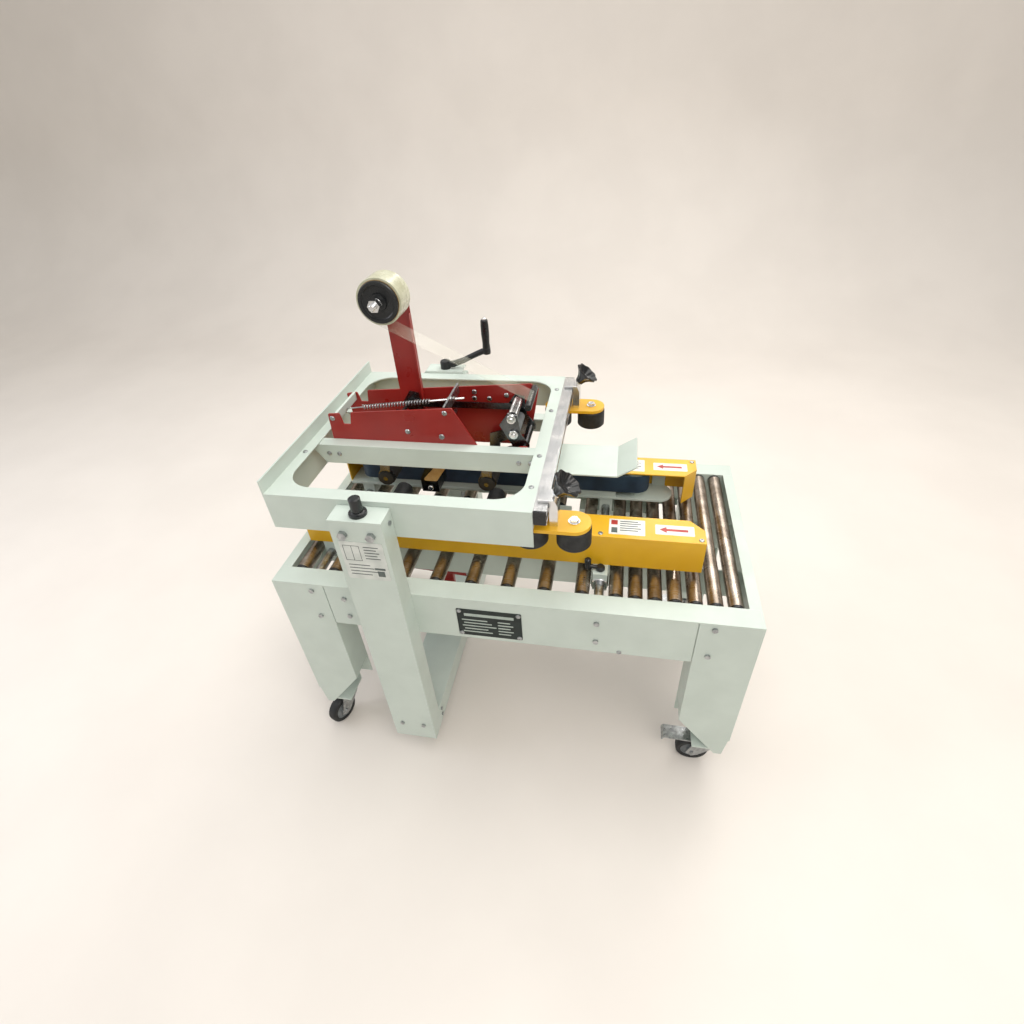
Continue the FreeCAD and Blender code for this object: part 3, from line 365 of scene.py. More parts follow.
def moulded(name, colour, bloom, roughness, grain_mm, depth_mm):
    """Moulded rubber or plastic: a fine spark-eroded grain with dust or bloom in patches."""
    material, tree, shader, place = finish_of(name, 0, IOR=1.5)
    tree.links.new(blotches(tree, place, 18, colour, bloom), shader.inputs["Base Color"])
    gloss_range(tree, shader, place, 14, roughness - 0.08, roughness + 0.1)
    grain = add(tree, "TexNoise", {"Vector": place, "Scale": per_mm(grain_mm), "Detail": 2.0})
    relief(tree, shader, grain.outputs["Fac"], depth_mm)
    return material


rubber = moulded("black_rubber", RUBBER, RUBBER_DUSTY, 0.62, 1.2, 0.06)
nylon = moulded("grey_nylon", NYLON, "#7b8082", 0.45, 0.9, 0.03)

joints = {joint["name"]: joint for joint in frame["record"]["behaviour"]["joints"]}
for number in range(1, 5):
    roll = joints[f"caster_{number}_roll"]
    heading_angle = atan2(roll["axis"][1], roll["axis"][0]) - pi / 2
    placed = Matrix.Translation(roll["pos_m"]) @ Matrix.Rotation(heading_angle, 4, "Z")
    bm = bmesh.new()
    lathe(bm, [(26, -TYRE_HALF), (34, -TYRE_HALF), (36.6, -TYRE_HALF + 2.5), (TYRE_RADIUS, -TYRE_HALF + 6),
               (TYRE_RADIUS, TYRE_HALF - 6), (36.6, TYRE_HALF - 2.5), (34, TYRE_HALF), (26, TYRE_HALF)],
          (0, 0, 0), "y", ring=True, steps=56)
    bmesh.ops.transform(bm, matrix=placed, verts=bm.verts)
    piece(f"tyre_{number}", bm, rubber, f"caster_tread_{number}", 0.4,
          (f"caster_wheel_{number}",))
    bm = bmesh.new()
    lathe(bm, [(4.2, -14), (10, -14), (11, -13), (12, -8), (23, -7), (26.2, -10), (26.2, 10), (23, 7),
               (12, 8), (11, 13), (10, 14), (4.2, 14)], (0, 0, 0), "y", ring=True, steps=40)
    bmesh.ops.transform(bm, matrix=placed, verts=bm.verts)
    piece(f"wheel_centre_{number}", bm, nylon, f"caster_tread_{number}", 0.3)

# ------------------------------------------------ conveyor rollers
# Thin steel tube, hard chromed and centreless ground, which leaves faint rings round it.
# A black ABS bearing housing is pressed into each end, and the tube turns on a fixed axle.
# Painted reflection: the rollers' tan tint stands for the tan surroundings they reflect; CHROME_SHADE is a
# painted shade copy of it.
CHROME_TAN_REFLECTION = "#b8ada1"
CHROME_SHADE = "#8b8074"
POCKET_FACE = 65
ABS = "#17191b"


def chrome_plate(name, bright, shade, low_gloss, high_gloss, stretch):
    """Chrome on ground steel: rings or lines of a fine grind, with blotches between a lit tone and a painted
    shade tone.
    """
    material, tree, shader, place = finish_of(name, 1)
    tree.links.new(blotches(tree, place, 40, shade, bright), shader.inputs["Base Color"])
    drawn = add(tree, "Mapping", {"Vector": place, "Scale": stretch})
    lines = add(tree, "TexNoise", {"Vector": drawn.outputs["Vector"], "Scale": per_mm(1.5), "Detail": 3.0})
    spread = add(tree, "MapRange", {"Value": lines.outputs["Fac"], "From Min": 0.3, "From Max": 0.7,
                                    "To Min": low_gloss, "To Max": high_gloss})
    tree.links.new(spread.outputs["Result"], shader.inputs["Roughness"])
    relief(tree, shader, lines.outputs["Fac"], 0.008)
    return material


roller_chrome = chrome_plate("ground_roller_chrome", CHROME_TAN_REFLECTION, CHROME_SHADE, 0.24, 0.38, (0.05, 1.0, 0.05))
bright_chrome = chrome_plate("bright_chrome", "#f0f0ef", "#dadbdc", 0.14, 0.28, (1.0, 0.05, 1.0))
abs_black = moulded("black_abs", ABS, "#1c1f21", 0.3, 0.8, 0.03)
coat(bright_chrome, "guide_rail")

for number in range(1, 17):
    node_name = f"conveyor_roller_{number:02d}"
    coat(roller_chrome, node_name)
    low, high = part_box(node_name)
    x, z = (low[0] + high[0]) / 2 / MM, (low[2] + high[2]) / 2 / MM
    ends = [(low[1] / MM, 1), (high[1] / MM, -1)]
    if 2 <= number <= 8:
        ends += [(-POCKET_FACE, -1), (POCKET_FACE, 1)]
    bm = bmesh.new()
    for end, inward in ends:
        housing = [(4.3, -2.4), (9, -2.4), (9.6, -1.2), (12.4, -1.2), (13.4, -2.4), (14.8, -1.6),
                   (15.2, 0.2), (15.2, 4.5),
                   (4.3, 4.5)]
        lathe(bm, [(radius, inward * along) for radius, along in housing], (x, z, end), "y", ring=True,
              steps=32)
    piece(f"bearing_housings_{number:02d}", bm, abs_black, f"roller_{number:02d}", 0)

# ------------------------------------------------ columns' tops and the lift crank
# The near screw ends under a black ABS cap. The far one carries a cast iron crank, painted black,
# with a plain plastic grip that ends in a chromed rivet.
column_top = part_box("columns")[1][2] / MM - 35
SCREW_X = -237
SCREW_Y = 292
crank_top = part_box("lift_screw_far")[1][2] / MM
grip_x = SCREW_X + 112

bm = bmesh.new()
lathe(bm, [(0, 36.6), (8.4, 36.6), (10.8, 34.8), (10.8, 7.5), (13, 5.8), (16.6, 5.4), (16.6, 0.1)],
      (SCREW_X, -SCREW_Y, column_top), "z", steps=36)
piece("screw_cap", bm, abs_black, "machine_frame", 0)

PLATE_RISE = 16.5
SLOT_RADIUS = 13.8
bm = bmesh.new()
slot_arc = [(SCREW_X + SLOT_RADIUS * cos(pi * k / 12),
             SCREW_Y - SLOT_RADIUS * sin(pi * k / 12)) for k in range(13)]
prism(bm, [(SCREW_X - 48, SCREW_Y - 21), (SCREW_X + 48, SCREW_Y - 21), (SCREW_X + 48, SCREW_Y + 22),
           (SCREW_X + SLOT_RADIUS, SCREW_Y + 22)] + slot_arc
      + [(SCREW_X - SLOT_RADIUS, SCREW_Y + 22), (SCREW_X - 48, SCREW_Y + 22)],
      column_top + PLATE_RISE - 3, column_top + PLATE_RISE, "z")
prism(bm, [(SCREW_X - 62, column_top), (SCREW_X + 62, column_top), (SCREW_X + 48, column_top + PLATE_RISE),
           (SCREW_X - 48, column_top + PLATE_RISE)], SCREW_Y - 22.5, SCREW_Y - 19.5, "y")
piece("far_top_plate", bm, mint, "machine_frame", 0.5)


def tube(bm, path, radii, steps=14):
    """A round bar along a path of points in mm, with a radius at each."""
    points = [Vector(p) * MM for p in path]
    up = Vector((0, 1, 0))
    rings = []
    for i, point in enumerate(points):
        ahead = (points[min(i + 1, len(points) - 1)] - points[max(i - 1, 0)]).normalized()
        level = up if abs(ahead.dot(up)) < 0.95 else Vector((1, 0, 0))
        side = ahead.cross(level).normalized()
        over = side.cross(ahead).normalized()
        ring = [side * cos(2 * pi * k / steps) + over * sin(2 * pi * k / steps) for k in range(steps)]
        rings.append([bm.verts.new(point + direction * radii[i] * MM) for direction in ring])
    for one, two in zip(rings, rings[1:]):
        for k in range(steps):
            j = (k + 1) % steps
            bm.faces.new((one[k], one[j], two[j], two[k]))
    bm.faces.new(rings[0])
    bm.faces.new(rings[-1])


hub_z = column_top + 6
bm = bmesh.new()
lathe(bm, [(7.4, 0), (12.4, 0), (13, 1.5), (13, 27), (11.5, 30), (0, 30)], (SCREW_X, SCREW_Y, hub_z), "z")
sweep = [(SCREW_X, hub_z + 20.5), (SCREW_X + 22, hub_z + 21.5), (SCREW_X + 52, hub_z + 33),
         (SCREW_X + 82, hub_z + 48), (SCREW_X + 100, hub_z + 56), (grip_x, hub_z + 58)]
tube(bm, [(x, SCREW_Y, z) for x, z in sweep], [8.4, 8.2, 7.4, 7.2, 7.6, 8.6])
lathe(bm, [(0, -7), (9, -7), (10, -5), (10, 7), (8, 8.5), (0, 8.5)], (grip_x, SCREW_Y, hub_z + 58), "z")
cast_black = moulded("black_cast_iron_paint", "#15171a", "#1f2225", 0.45, 1.5, 0.1)
piece("crank_arm", bm, cast_black, "screw_far", 0, ("lift_screw_far",))

grip_foot = hub_z + 66
grip_length = crank_top - grip_foot
bm = bmesh.new()
lathe(bm, [(0, 0), (8.6, 0), (9.6, 2), (8.8, 12), (10, 36), (9.8, 58), (8.8, grip_length - 7),
           (7, grip_length - 5), (0, grip_length - 5)], (grip_x, SCREW_Y, grip_foot), "z")
piece("crank_grip", bm, abs_black, "screw_far", 0)
bm = bmesh.new()
lathe(bm, [(0, grip_length), (3, grip_length - 0.4), (5, grip_length - 2), (5.2, grip_length - 5.2)],
      (grip_x, SCREW_Y, grip_foot), "z", steps=24)
piece("grip_rivet", bm, bright_chrome, "screw_far", 0)

THREAD_PITCH = 5
SCREW_FOOT = 60
for side, hand, screw_top in (("near", -1, column_top + 23), ("far", 1, hub_z + 1)):
    bm = bmesh.new()
    thread = [(0, 0)]
    for turn in range(int((screw_top - SCREW_FOOT) / THREAD_PITCH)):
        foot = turn * THREAD_PITCH
        thread += [(5.6, foot), (6.9, foot + 1.2), (6.9, foot + 2.6), (5.6, foot + 3.8)]
    lathe(bm, thread + [(0, thread[-1][1])], (SCREW_X, hand * SCREW_Y, SCREW_FOOT), "z", steps=24)
    lathe(bm, [(6.5, 0), (12, 0), (12, 6), (6.5, 6)], (SCREW_X, hand * SCREW_Y, 63), "z", ring=True)
    lathe(bm, [(6.5, 0), (11.5, 0), (11.5, 4), (6.5, 4)], (SCREW_X, hand * SCREW_Y, 85.5), "z", ring=True,
          steps=60, lobes=10, lobe_depth=0.08)
    stands_for = ("lift_screw_near",) if side == "near" else ()
    piece(f"{side}_screw_thread", bm, zinc, f"screw_{side}", 0, stands_for)

# ------------------------------------------------ guide rail
# A strut of drawn, chromed steel across the infeed edge, with a tan fibre slide strip in its slot.
# A black ABS plug closes each end.
rail_low, rail_high = [[v / MM for v in corner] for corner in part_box("guide_rail")]
bm = bmesh.new()
prism(bm, box_outline((rail_high[0] - 9, rail_low[2] + 10.5), (rail_high[0] - 3.6, rail_high[2] - 10.5)),
      rail_low[1] + 4, rail_high[1] - 4, "y")
fibre = moulded("tan_fibre", "#b48f58", "#c3a26c", 0.6, 1.0, 0.06)
piece("slide_strip", bm, fibre, "head_carriage", 0.3)
bm = bmesh.new()
plug = rounded(box_outline((rail_low[0] + 0.6, rail_low[2] + 0.6),
                           (rail_high[0] - 0.6, rail_high[2] - 0.6)), 2)
prism(bm, plug, rail_low[1] - 3.5, rail_low[1] - 0.1, "y")
prism(bm, plug, rail_high[1] + 0.1, rail_high[1] + 3.5, "y")
piece("rail_plugs", bm, abs_black, "head_carriage", 0.5)

# ------------------------------------------------ squeeze arms
# An 8 mm laser cut plate in signal yellow powder coat carries two rubber rollers on steel pins.
# A chromed clamp holds it on the guide rail, tightened by a lobed, glossy black hand knob.
YELLOW = "#e9b61f"
YELLOW_SOILED = "#e0ab1b"
# painted highlight: the brighter colour that the yellow folds get
YELLOW_FOLD_HIGHLIGHT = "#f2c548"
yellow = powder_coat("yellow_powder_coat", YELLOW, YELLOW_SOILED, YELLOW_FOLD_HIGHLIGHT, 0.38)
coat(yellow, "belt_cover_near", "belt_cover_far")
ARM_Y = 222
FRONT_X = 142
BACK_X = 62
ARM_RADIUS = 31.5
ARM_FOOT = 709
ARM_TOP = 717
KNOB_LEAN = 40
glossy_black = moulded("polished_black_phenolic", "#131416", "#1a1b1d", 0.16, 2.0, 0.02)


def stadium(x_low, x_high, y, radius, steps=18):
    """A slot-shaped outline, with a half circle at each end."""
    ends = [(x_high, -pi / 2), (x_low, pi / 2)]
    return [(x + radius * cos(turn + pi * k / steps), y + radius * sin(turn + pi * k / steps))
            for x, turn in ends for k in range(steps + 1)]


def squeeze_tyre(bm, x, y):
    """A rubber roller with a grooved foot, hung under the arm's plate."""
    lathe(bm, [(5.2, -41.4), (20, -41.4), (22, -38.5), (28, -38.5), (30.5, -41.4), (32.4, -39),
               (32.4, -2.6), (30.5, -0.6), (5.2, -0.6)], (x, y, ARM_FOOT), "z", ring=True, steps=56)


for side, hand in (("near", -1), ("far", 1)):
    y = hand * ARM_Y
    arm_body = f"squeeze_arm_{side}_body"
    bm = bmesh.new()
    prism(bm, stadium(BACK_X, FRONT_X, y, ARM_RADIUS), ARM_FOOT, ARM_TOP, "z")
    piece(f"squeeze_plate_{side}", bm, yellow, arm_body, 1.0, (f"squeeze_arm_{side}",))
    bm = bmesh.new()
    squeeze_tyre(bm, BACK_X, y)
    piece(f"back_tyre_{side}", bm, rubber, arm_body, 0)
    bm = bmesh.new()
    squeeze_tyre(bm, FRONT_X, y)
    piece(f"front_tyre_{side}", bm, rubber, f"squeeze_wheel_{side}", 0,
          (f"squeeze_roller_{side}",))
    bm = bmesh.new()
    for x in (BACK_X, FRONT_X):
        lathe(bm, [(0, -44), (4.5, -44), (5, -43), (5, 1), (0, 1)], (x, y, ARM_FOOT), "z", steps=24)
    hexagon(bm, 15, ARM_TOP + 1.4, ARM_TOP + 6.4, (FRONT_X, y), "z")
    lathe(bm, [(0, 0), (11, 0), (11, 1.6), (0, 1.6)], (FRONT_X, y, ARM_TOP), "z")
    piece(f"arm_fasteners_{side}", bm, bright_chrome, arm_body, 0.3)
    bm = bmesh.new()
    clamp = [(98.6, ARM_TOP - 2), (114.4, ARM_TOP - 2), (114.4, 760), (108, 773.8), (78.2, 773.8),
             (78.2, 768.6), (98.6, 768.6)]
    prism(bm, clamp, y - 18, y + 18, "y")
    prism(bm, box_outline((96.6, 748.8), (98.8, 757.2)), y - 18, y + 18, "y")
    piece(f"rail_clamp_{side}", bm, bright_chrome, arm_body, 1.0)
    lean = Matrix.Translation(Vector((111, y, 777.3)) * MM) @ Matrix.Rotation(radians(KNOB_LEAN), 4, "Y")
    bm = bmesh.new()
    lathe(bm, [(0, 1), (9, 1), (10, 6), (13, 14), (19, 22), (25.5, 28), (27.5, 30.4), (27, 32.4),
               (24.5, 32.6), (20, 28), (13, 22), (8, 20), (0, 20)],
          (0, 0, 0), "z", steps=96, lobes=8, lobe_depth=0.07)
    bmesh.ops.transform(bm, matrix=lean, verts=bm.verts)
    piece(f"hand_knob_{side}", bm, glossy_black, arm_body, 0)
    bm = bmesh.new()
    lathe(bm, [(0, -3), (4.9, -3), (4.9, 5), (0, 5)], (0, 0, 0), "z", steps=24)
    hexagon(bm, 15, -2.2, 0.8, (0, 0), "z")
    bmesh.ops.transform(bm, matrix=lean, verts=bm.verts)
    piece(f"knob_stud_{side}", bm, bright_chrome, arm_body, 0)

# ------------------------------------------------ side belts
# Each belt is a flat loop of navy rubber on a woven polyester backing, so its face shows a fine weave.
# Its cover is folded sheet with stickers: a red travel arrow, and a plain block with bars.
NAVY = "#1d2f40"
NAVY_WORN = "#2b4154"
THREAD_MM = 1.6  # the real thread is finer; this is as fine as still shows
STICKER_GAUGE = 0.2
INK_RISE = 0.15
STICKER = "#e9e9e4"
STICKER_RED = "#b3362c"


def woven_rubber(name, colour, wear_and_fold_highlight):
    material, tree, shader, place = finish_of(name, 0, IOR=1.5)
    tree.links.new(blotches(tree, place, 45, colour, wear_and_fold_highlight), shader.inputs["Base Color"])
    gloss_range(tree, shader, place, 30, 0.5, 0.7)
    warp = add(tree, "TexWave", {"Vector": place, "Scale": per_mm(THREAD_MM * 6.28)}, bands_direction="X")
    weft = add(tree, "TexWave", {"Vector": place, "Scale": per_mm(THREAD_MM * 6.28)}, bands_direction="Z")
    weave = add(tree, "Math", {0: warp.outputs["Fac"], 1: weft.outputs["Fac"]}, operation="MULTIPLY")
    relief(tree, shader, weave.outputs["Value"], 0.12)
    return material


coat(woven_rubber("navy_belt_weave", NAVY, NAVY_WORN), "side_belt_near", "side_belt_far")
vinyl = printed_sheet("white_vinyl", STICKER, "#d9dad3", 0.0)
red_ink = printed_sheet("red_print", STICKER_RED, "#9e2e26", 0.0)
cover_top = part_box("belt_cover_near")[1][2] / MM
ink_foot = cover_top + STICKER_GAUGE

for side, hand in (("near", -1), ("far", 1)):
    body = f"belt_unit_{side}"
    y = hand * 113.5
    bm = bmesh.new()
    prism(bm, rounded(box_outline((296, y - 15), (372, y + 15)), 2), cover_top, ink_foot, "z")
    prism(bm, rounded(box_outline((204, y - 24), (276, y + 24)), 2), cover_top, ink_foot, "z")
    piece(f"stickers_{side}", bm, vinyl, body, 0)
    bm = bmesh.new()
    arrow = [(304, y), (318, y - 9), (318, y - 3.5), (360, y - 3.5), (360, y + 3.5), (318, y + 3.5),
             (318, y + 9)]
    prism(bm, arrow, ink_foot, ink_foot + INK_RISE, "z")
    prism(bm, box_outline((208, y + 6), (221, y + 20)), ink_foot, ink_foot + INK_RISE, "z")
    piece(f"travel_arrow_{side}", bm, red_ink, body, 0)
    print_rows = [((226, y + 16 - 7 * k), (262 + 6 * (k % 2), y + 18.5 - 7 * k)) for k in range(5)]
    blocks = [((209, y - 19), (221, y - 3))]
    bars(f"sticker_bars_{side}", print_rows + blocks, ink_foot, "z", dark_ink, body,
         proud=INK_RISE)
    screw_heads(f"cover_screws_{side}", [(x, y + hand * 25, cover_top) for x in (-430, -150, 188, 384)],
                "z", body)

# ------------------------------------------------ belt lock
# The near unit is locked on its cross shaft by a chromed clamp, drawn tight with a black ABS lever
# that turns on a steel stem.
SHAFT_X = 192
SHAFT_Z = 515
LEVER_Y = -163
bm = bmesh.new()
lathe(bm, [(10.3, 0), (16.4, 0), (17.6, 1.2), (17.6, 31), (16.4, 32), (10.3, 32)],
      (SHAFT_X, SHAFT_Z, -180.5), "y", ring=True)
piece("shaft_clamp", bm, bright_chrome, "belt_unit_near", 0)
bm = bmesh.new()
lathe(bm, [(0, 0), (9, 0), (9.4, 1.5), (9.4, 6), (7, 9), (0, 9.5)], (SHAFT_X, LEVER_Y, 545.3), "z", steps=32)
tube(bm, [(SHAFT_X, LEVER_Y, 550), (SHAFT_X - 12, LEVER_Y, 551), (SHAFT_X - 26, LEVER_Y, 552)], [4.5, 4, 4.6])
lathe(bm, [(0, -5), (5.4, -5), (5.8, 2), (7, 14), (6.6, 19), (4, 21.5), (0, 22)],
      (SHAFT_X - 26, LEVER_Y, 551), "z", steps=32)
piece("lock_lever", bm, abs_black, "belt_lock", 0, ("belt_lever",))

# ------------------------------------------------ tape heads
# Two laser cut side plates in gloss red powder coat, held apart by zinc plated bars and bolts.
# The lower head is the same unit upside down under the rollers.
RED = "#9a2520"
RED_SOILED = "#90211d"
# painted highlight: the brighter colour that the red folds get
RED_FOLD_HIGHLIGHT = "#a8362e"
HEAD_HALF = 55
GAUGE = 3
MIRROR_Z = 612
REEL_X = -240
REEL_Z = 1045
red = powder_coat("red_powder_coat", RED, RED_SOILED, RED_FOLD_HIGHLIGHT, 0.32)
NEAR_OUTLINE = [(-390, 766), (-388, 824), (-362, 826), (-358, 801), (-342, 801), (-336, 829), (-117, 847),
                (-75, 768), (-40, 702), (-362, 702)]
FAR_OUTLINE = [(-395, 766), (-398, 814), (-372, 818), (-367, 795), (-350, 795), (-346, 823), (25, 850),
               (41, 839), (16, 702), (-362, 702)]
LUG_OUTLINE = [(-60, 702), (-60, 722), (17, 766), (32, 766), (32, 702)]
CROSS_RODS = [(-146, 781), (23, 757), (-210, 757)]
NEAR_BOLTS = [(-380, 814), (-133, 836), (-218, 790), (-318, 730), (-90, 722)]
BRAKE_COILS = 4
BRAKE_WIRE = 1.1
FAR_BOLTS = [(-99, 828), (-100, 813), (-67, 813), (-29, 822), (-318, 730), (4, 735)]


def head_piece(level, name, bm, material, body, bevel_mm=0, stands_for=()):
    """A piece of a tape head, turned upside down under the rollers for the lower one."""
    if level == "lower":
        upside = Matrix.Translation((0, 0, 2 * MIRROR_Z * MM)) @ Matrix.Diagonal((1, 1, -1, 1))
        bmesh.ops.transform(bm, matrix=upside, verts=bm.verts)
    piece(f"{level}_{name}", bm, material, body, bevel_mm, stands_for)


for level in ("upper", "lower"):
    carried = "head_carriage" if level == "upper" else "machine_frame"

    bm = bmesh.new()
    prism(bm, rounded(NEAR_OUTLINE, 3, 3), -HEAD_HALF - GAUGE, -HEAD_HALF, "y")
    prism(bm, rounded(FAR_OUTLINE, 3, 3), HEAD_HALF, HEAD_HALF + GAUGE, "y")
    prism(bm, rounded(LUG_OUTLINE, 3, 3), -HEAD_HALF - GAUGE, -HEAD_HALF, "y")
    head_piece(level, "side_plates", bm, red, carried, 0.4, (f"{level}_head_plates",))

    crown = [(REEL_X + 27 * cos(pi * k / 14), REEL_Z - 9 + 27 * sin(pi * k / 14)) for k in range(15)]
    bm = bmesh.new()
    prism(bm, [(REEL_X - 27, 760), (REEL_X + 27, 760)] + crown, HEAD_HALF - 3, HEAD_HALF, "y")
    prism(bm, [(REEL_X + 24, 778), (REEL_X + 27, 778), (REEL_X + 27, 1000), (REEL_X + 24, 985)],
          HEAD_HALF - 12, HEAD_HALF - 2, "y")
    head_piece(level, "reel_strip", bm, red, carried, 0.4)

    bm = bmesh.new()
    for x, z in CROSS_RODS:
        lathe(bm, [(0, -61), (5, -60.5), (6.2, -58.6), (6.2, -58), (3.9, -58), (3.9, 58), (6.2, 58),
                   (6.2, 58.6), (5, 60.5), (0, 61)],
              (x, z, 0), "y", steps=24)
    for x, z in NEAR_BOLTS:
        lathe(bm, [(0, -61), (4.2, -60.4), (5.6, -58.8), (5.6, -57.9)], (x, z, 0), "y", steps=20)
    for x, z in FAR_BOLTS:
        lathe(bm, [(0, 51.8), (4.2, 52.4), (5.6, 53.8), (5.6, 55.1)], (x, z, 0), "y", steps=20)
    prism(bm, box_outline((-136, 825), (-132, 848)), -HEAD_HALF, HEAD_HALF, "y")
    head_piece(level, "head_ties", bm, zinc, carried, 0)

    bm = bmesh.new()
    prism(bm, box_outline((-382, 800), (-376, 818)), -HEAD_HALF, HEAD_HALF, "y")
    head_piece(level, "hook_bar", bm, mint, carried, 0.5)

    bm = bmesh.new()
    lathe(bm, [(0, -38), (6.6, -38), (7.2, -36.5), (7.2, 53), (6.6, 55), (0, 55)], (33, 843, 0), "y",
          steps=28)
    head_piece(level, "top_roller", bm, abs_black, carried, 0)

    bm = bmesh.new()
    thread = [(0, -62), (4.6, -62)]
    for turn in range(20):
        thread += [(6, -60.6 + 1.5 * turn), (5.3, -59.9 + 1.5 * turn)]
    lathe(bm, thread + [(6, -30), (6, HEAD_HALF), (0, HEAD_HALF)], (REEL_X, REEL_Z, 0), "y", steps=28)
    hexagon(bm, 21, -52, -41, (REEL_X, REEL_Z), "y")
    lathe(bm, [(5, 25.4), (13, 25.4), (13, 52), (5, 52)], (REEL_X, REEL_Z, 0), "y", ring=True)
    helix = [(REEL_X + 8.4 * cos(2 * pi * k / 20), -40.4 + 8.6 * k / (20 * BRAKE_COILS),
              REEL_Z + 8.4 * sin(2 * pi * k / 20)) for k in range(20 * BRAKE_COILS + 1)]
    tube(bm, helix, [BRAKE_WIRE] * len(helix), steps=8)
    head_piece(level, "spindle", bm, bright_chrome, carried, 0.2)

# ------------------------------------------------ wiper arms' rollers
# The arms are cut steel plate, polished; their dark colour is a painted dark reflection. Their wipers are
# black rubber sleeves on steel tube, and the front arm leads the tape over a knurled chrome roller and a pale
# nylon one.
KNURLS = 40
WIPER_Z = 657
KNURLED_AXLE = (0, 822)
PLAIN_AXLE = (3, 787)
# Painted reflection: the arms' dark colour stands for dark reflections on polished steel.
arm_steel_dark_reflection = chrome_plate("arm_steel_painted_dark_reflection", "#737577", "#585a5c", 0.18, 0.32, (1.0, 0.05, 1.0))
coat(arm_steel_dark_reflection, "seal_link", "upper_front_arm", "upper_rear_arm", "lower_front_arm", "lower_rear_arm")
knurled = chrome_plate("knurled_chrome", "#cfcfce", "#9b9c9d", 0.15, 0.3, (1.0, 1.0, 1.0))

for level in ("upper", "lower"):
    for arm, x in (("front", -65), ("rear", -298)):
        bm = bmesh.new()
        lathe(bm, [(5.2, -38.8), (18.4, -38.8), (20.3, -36.8), (20.3, 36.8), (18.4, 38.8), (5.2, 38.8)],
              (x, WIPER_Z, 0), "y", ring=True, steps=48)
        head_piece(level, f"{arm}_wiper", bm, rubber, f"{level}_{arm}_arm_body", 0)
        bm = bmesh.new()
        lathe(bm, [(5.1, -47.6), (15, -47.6), (18, -46), (18, -44.1), (5.1, -44.1)],
              (x, WIPER_Z, 0), "y", ring=True)
        head_piece(level, f"{arm}_wiper_disc", bm, rubber, f"{level}_{arm}_arm_body", 0)
    bm = bmesh.new()
    lathe(bm, [(4.2, -33), (9.3, -33), (9.3, 33), (4.2, 33)], (*KNURLED_AXLE, 0), "y", ring=True,
          steps=2 * KNURLS, lobes=KNURLS, lobe_depth=0.03)
    head_piece(level, "knurled_roller", bm, knurled, f"{level}_front_arm_body", 0)
    bm = bmesh.new()
    for low, high in ((-37.3, -33.2), (33.2, 37.3)):
        lathe(bm, [(4.2, low), (9.8, low), (9.8, high), (4.2, high)], (*KNURLED_AXLE, 0), "y", ring=True)
    head_piece(level, "roller_rings", bm, abs_black, f"{level}_front_arm_body", 0.3)
    bm = bmesh.new()
    lathe(bm, [(4.2, -31.2), (9.6, -31.2), (10.3, -30), (10.3, 30), (9.6, 31.2), (4.2, 31.2)],
          (*PLAIN_AXLE, 0), "y", ring=True)
    head_piece(level, "plain_roller", bm, nylon, f"{level}_front_arm_body", 0)
    bm = bmesh.new()
    for x, z in (KNURLED_AXLE, PLAIN_AXLE):
        lathe(bm, [(0, -55.6), (4.4, -55.4), (5, -54.4), (5, -50.4), (8.8, -50.2), (9.6, -49), (9.6, -44.1),
                   (0, -44.1)], (x, z, 0), "y", steps=28)
    head_piece(level, "roller_bolts", bm, bright_chrome, f"{level}_front_arm_body", 0)

# ------------------------------------------------ tape reels
# A part-used roll of clear polypropylene tape, cream in bulk, whose sides show its wound layers.
# It sits on a card core, with a black ABS hub disc on the operator's side.
TAPE = "#c9cab2"
TAPE_DEEP = "#b2b296"
TAPE_RADIUS = 44
LAYER_MM = 0.9  # the tape is 0.05 mm thick; this is as fine as still shows


def wound_tape(name, centre_z):
    material, tree, shader, place = finish_of(name, 0, IOR=1.49, Coat_Weight=0.4, Coat_Roughness=0.15)
    tree.links.new(blotches(tree, place, 30, TAPE_DEEP, TAPE), shader.inputs["Base Color"])
    gloss_range(tree, shader, place, 22, 0.2, 0.36)
    centred = add(tree, "Mapping", {"Vector": place, "Location": (-REEL_X * MM, 0, -centre_z * MM),
                                    "Scale": (1, 0, 1)})
    layers = add(tree, "TexWave", {"Vector": centred.outputs["Vector"], "Scale": per_mm(LAYER_MM * 6.28),
                                   "Distortion": 0.4},
                 wave_type="RINGS", rings_direction="SPHERICAL")
    relief(tree, shader, layers.outputs["Fac"], 0.06)
    return material


card = moulded("card_core", "#a98a5d", "#b99a6c", 0.8, 1.0, 0.08)
for level in ("upper", "lower"):
    centre_z = REEL_Z if level == "upper" else 2 * MIRROR_Z - REEL_Z
    at = (REEL_X, centre_z, 0)
    body = f"{level}_tape_reel_body"
    bm = bmesh.new()
    lathe(bm, [(40, -25), (TAPE_RADIUS - 0.5, -25), (TAPE_RADIUS, -24.4), (TAPE_RADIUS, 24.4),
               (TAPE_RADIUS - 0.5, 25), (40, 25)], at, "y", ring=True, steps=72)
    piece(f"{level}_tape_roll", bm, wound_tape(f"wound_tape_{level}", centre_z), body, 0,
          (f"{level}_tape_reel",))
    bm = bmesh.new()
    lathe(bm, [(38, -25), (40, -25), (40, 25), (38, 25)], at, "y", ring=True, steps=56)
    piece(f"{level}_core", bm, card, body, 0)
    bm = bmesh.new()
    lathe(bm, [(6.3, -30.8), (16, -30.8), (17, -29), (17, -27), (30, -27), (32, -28.5), (32, -30.8),
               (37.6, -31), (39, -29.6),
               (39, -25.2), (37.8, -25), (37.8, 24.5), (6.3, 24.5)], at, "y", ring=True, steps=56)
    piece(f"{level}_reel_hub", bm, abs_black, body, 0)

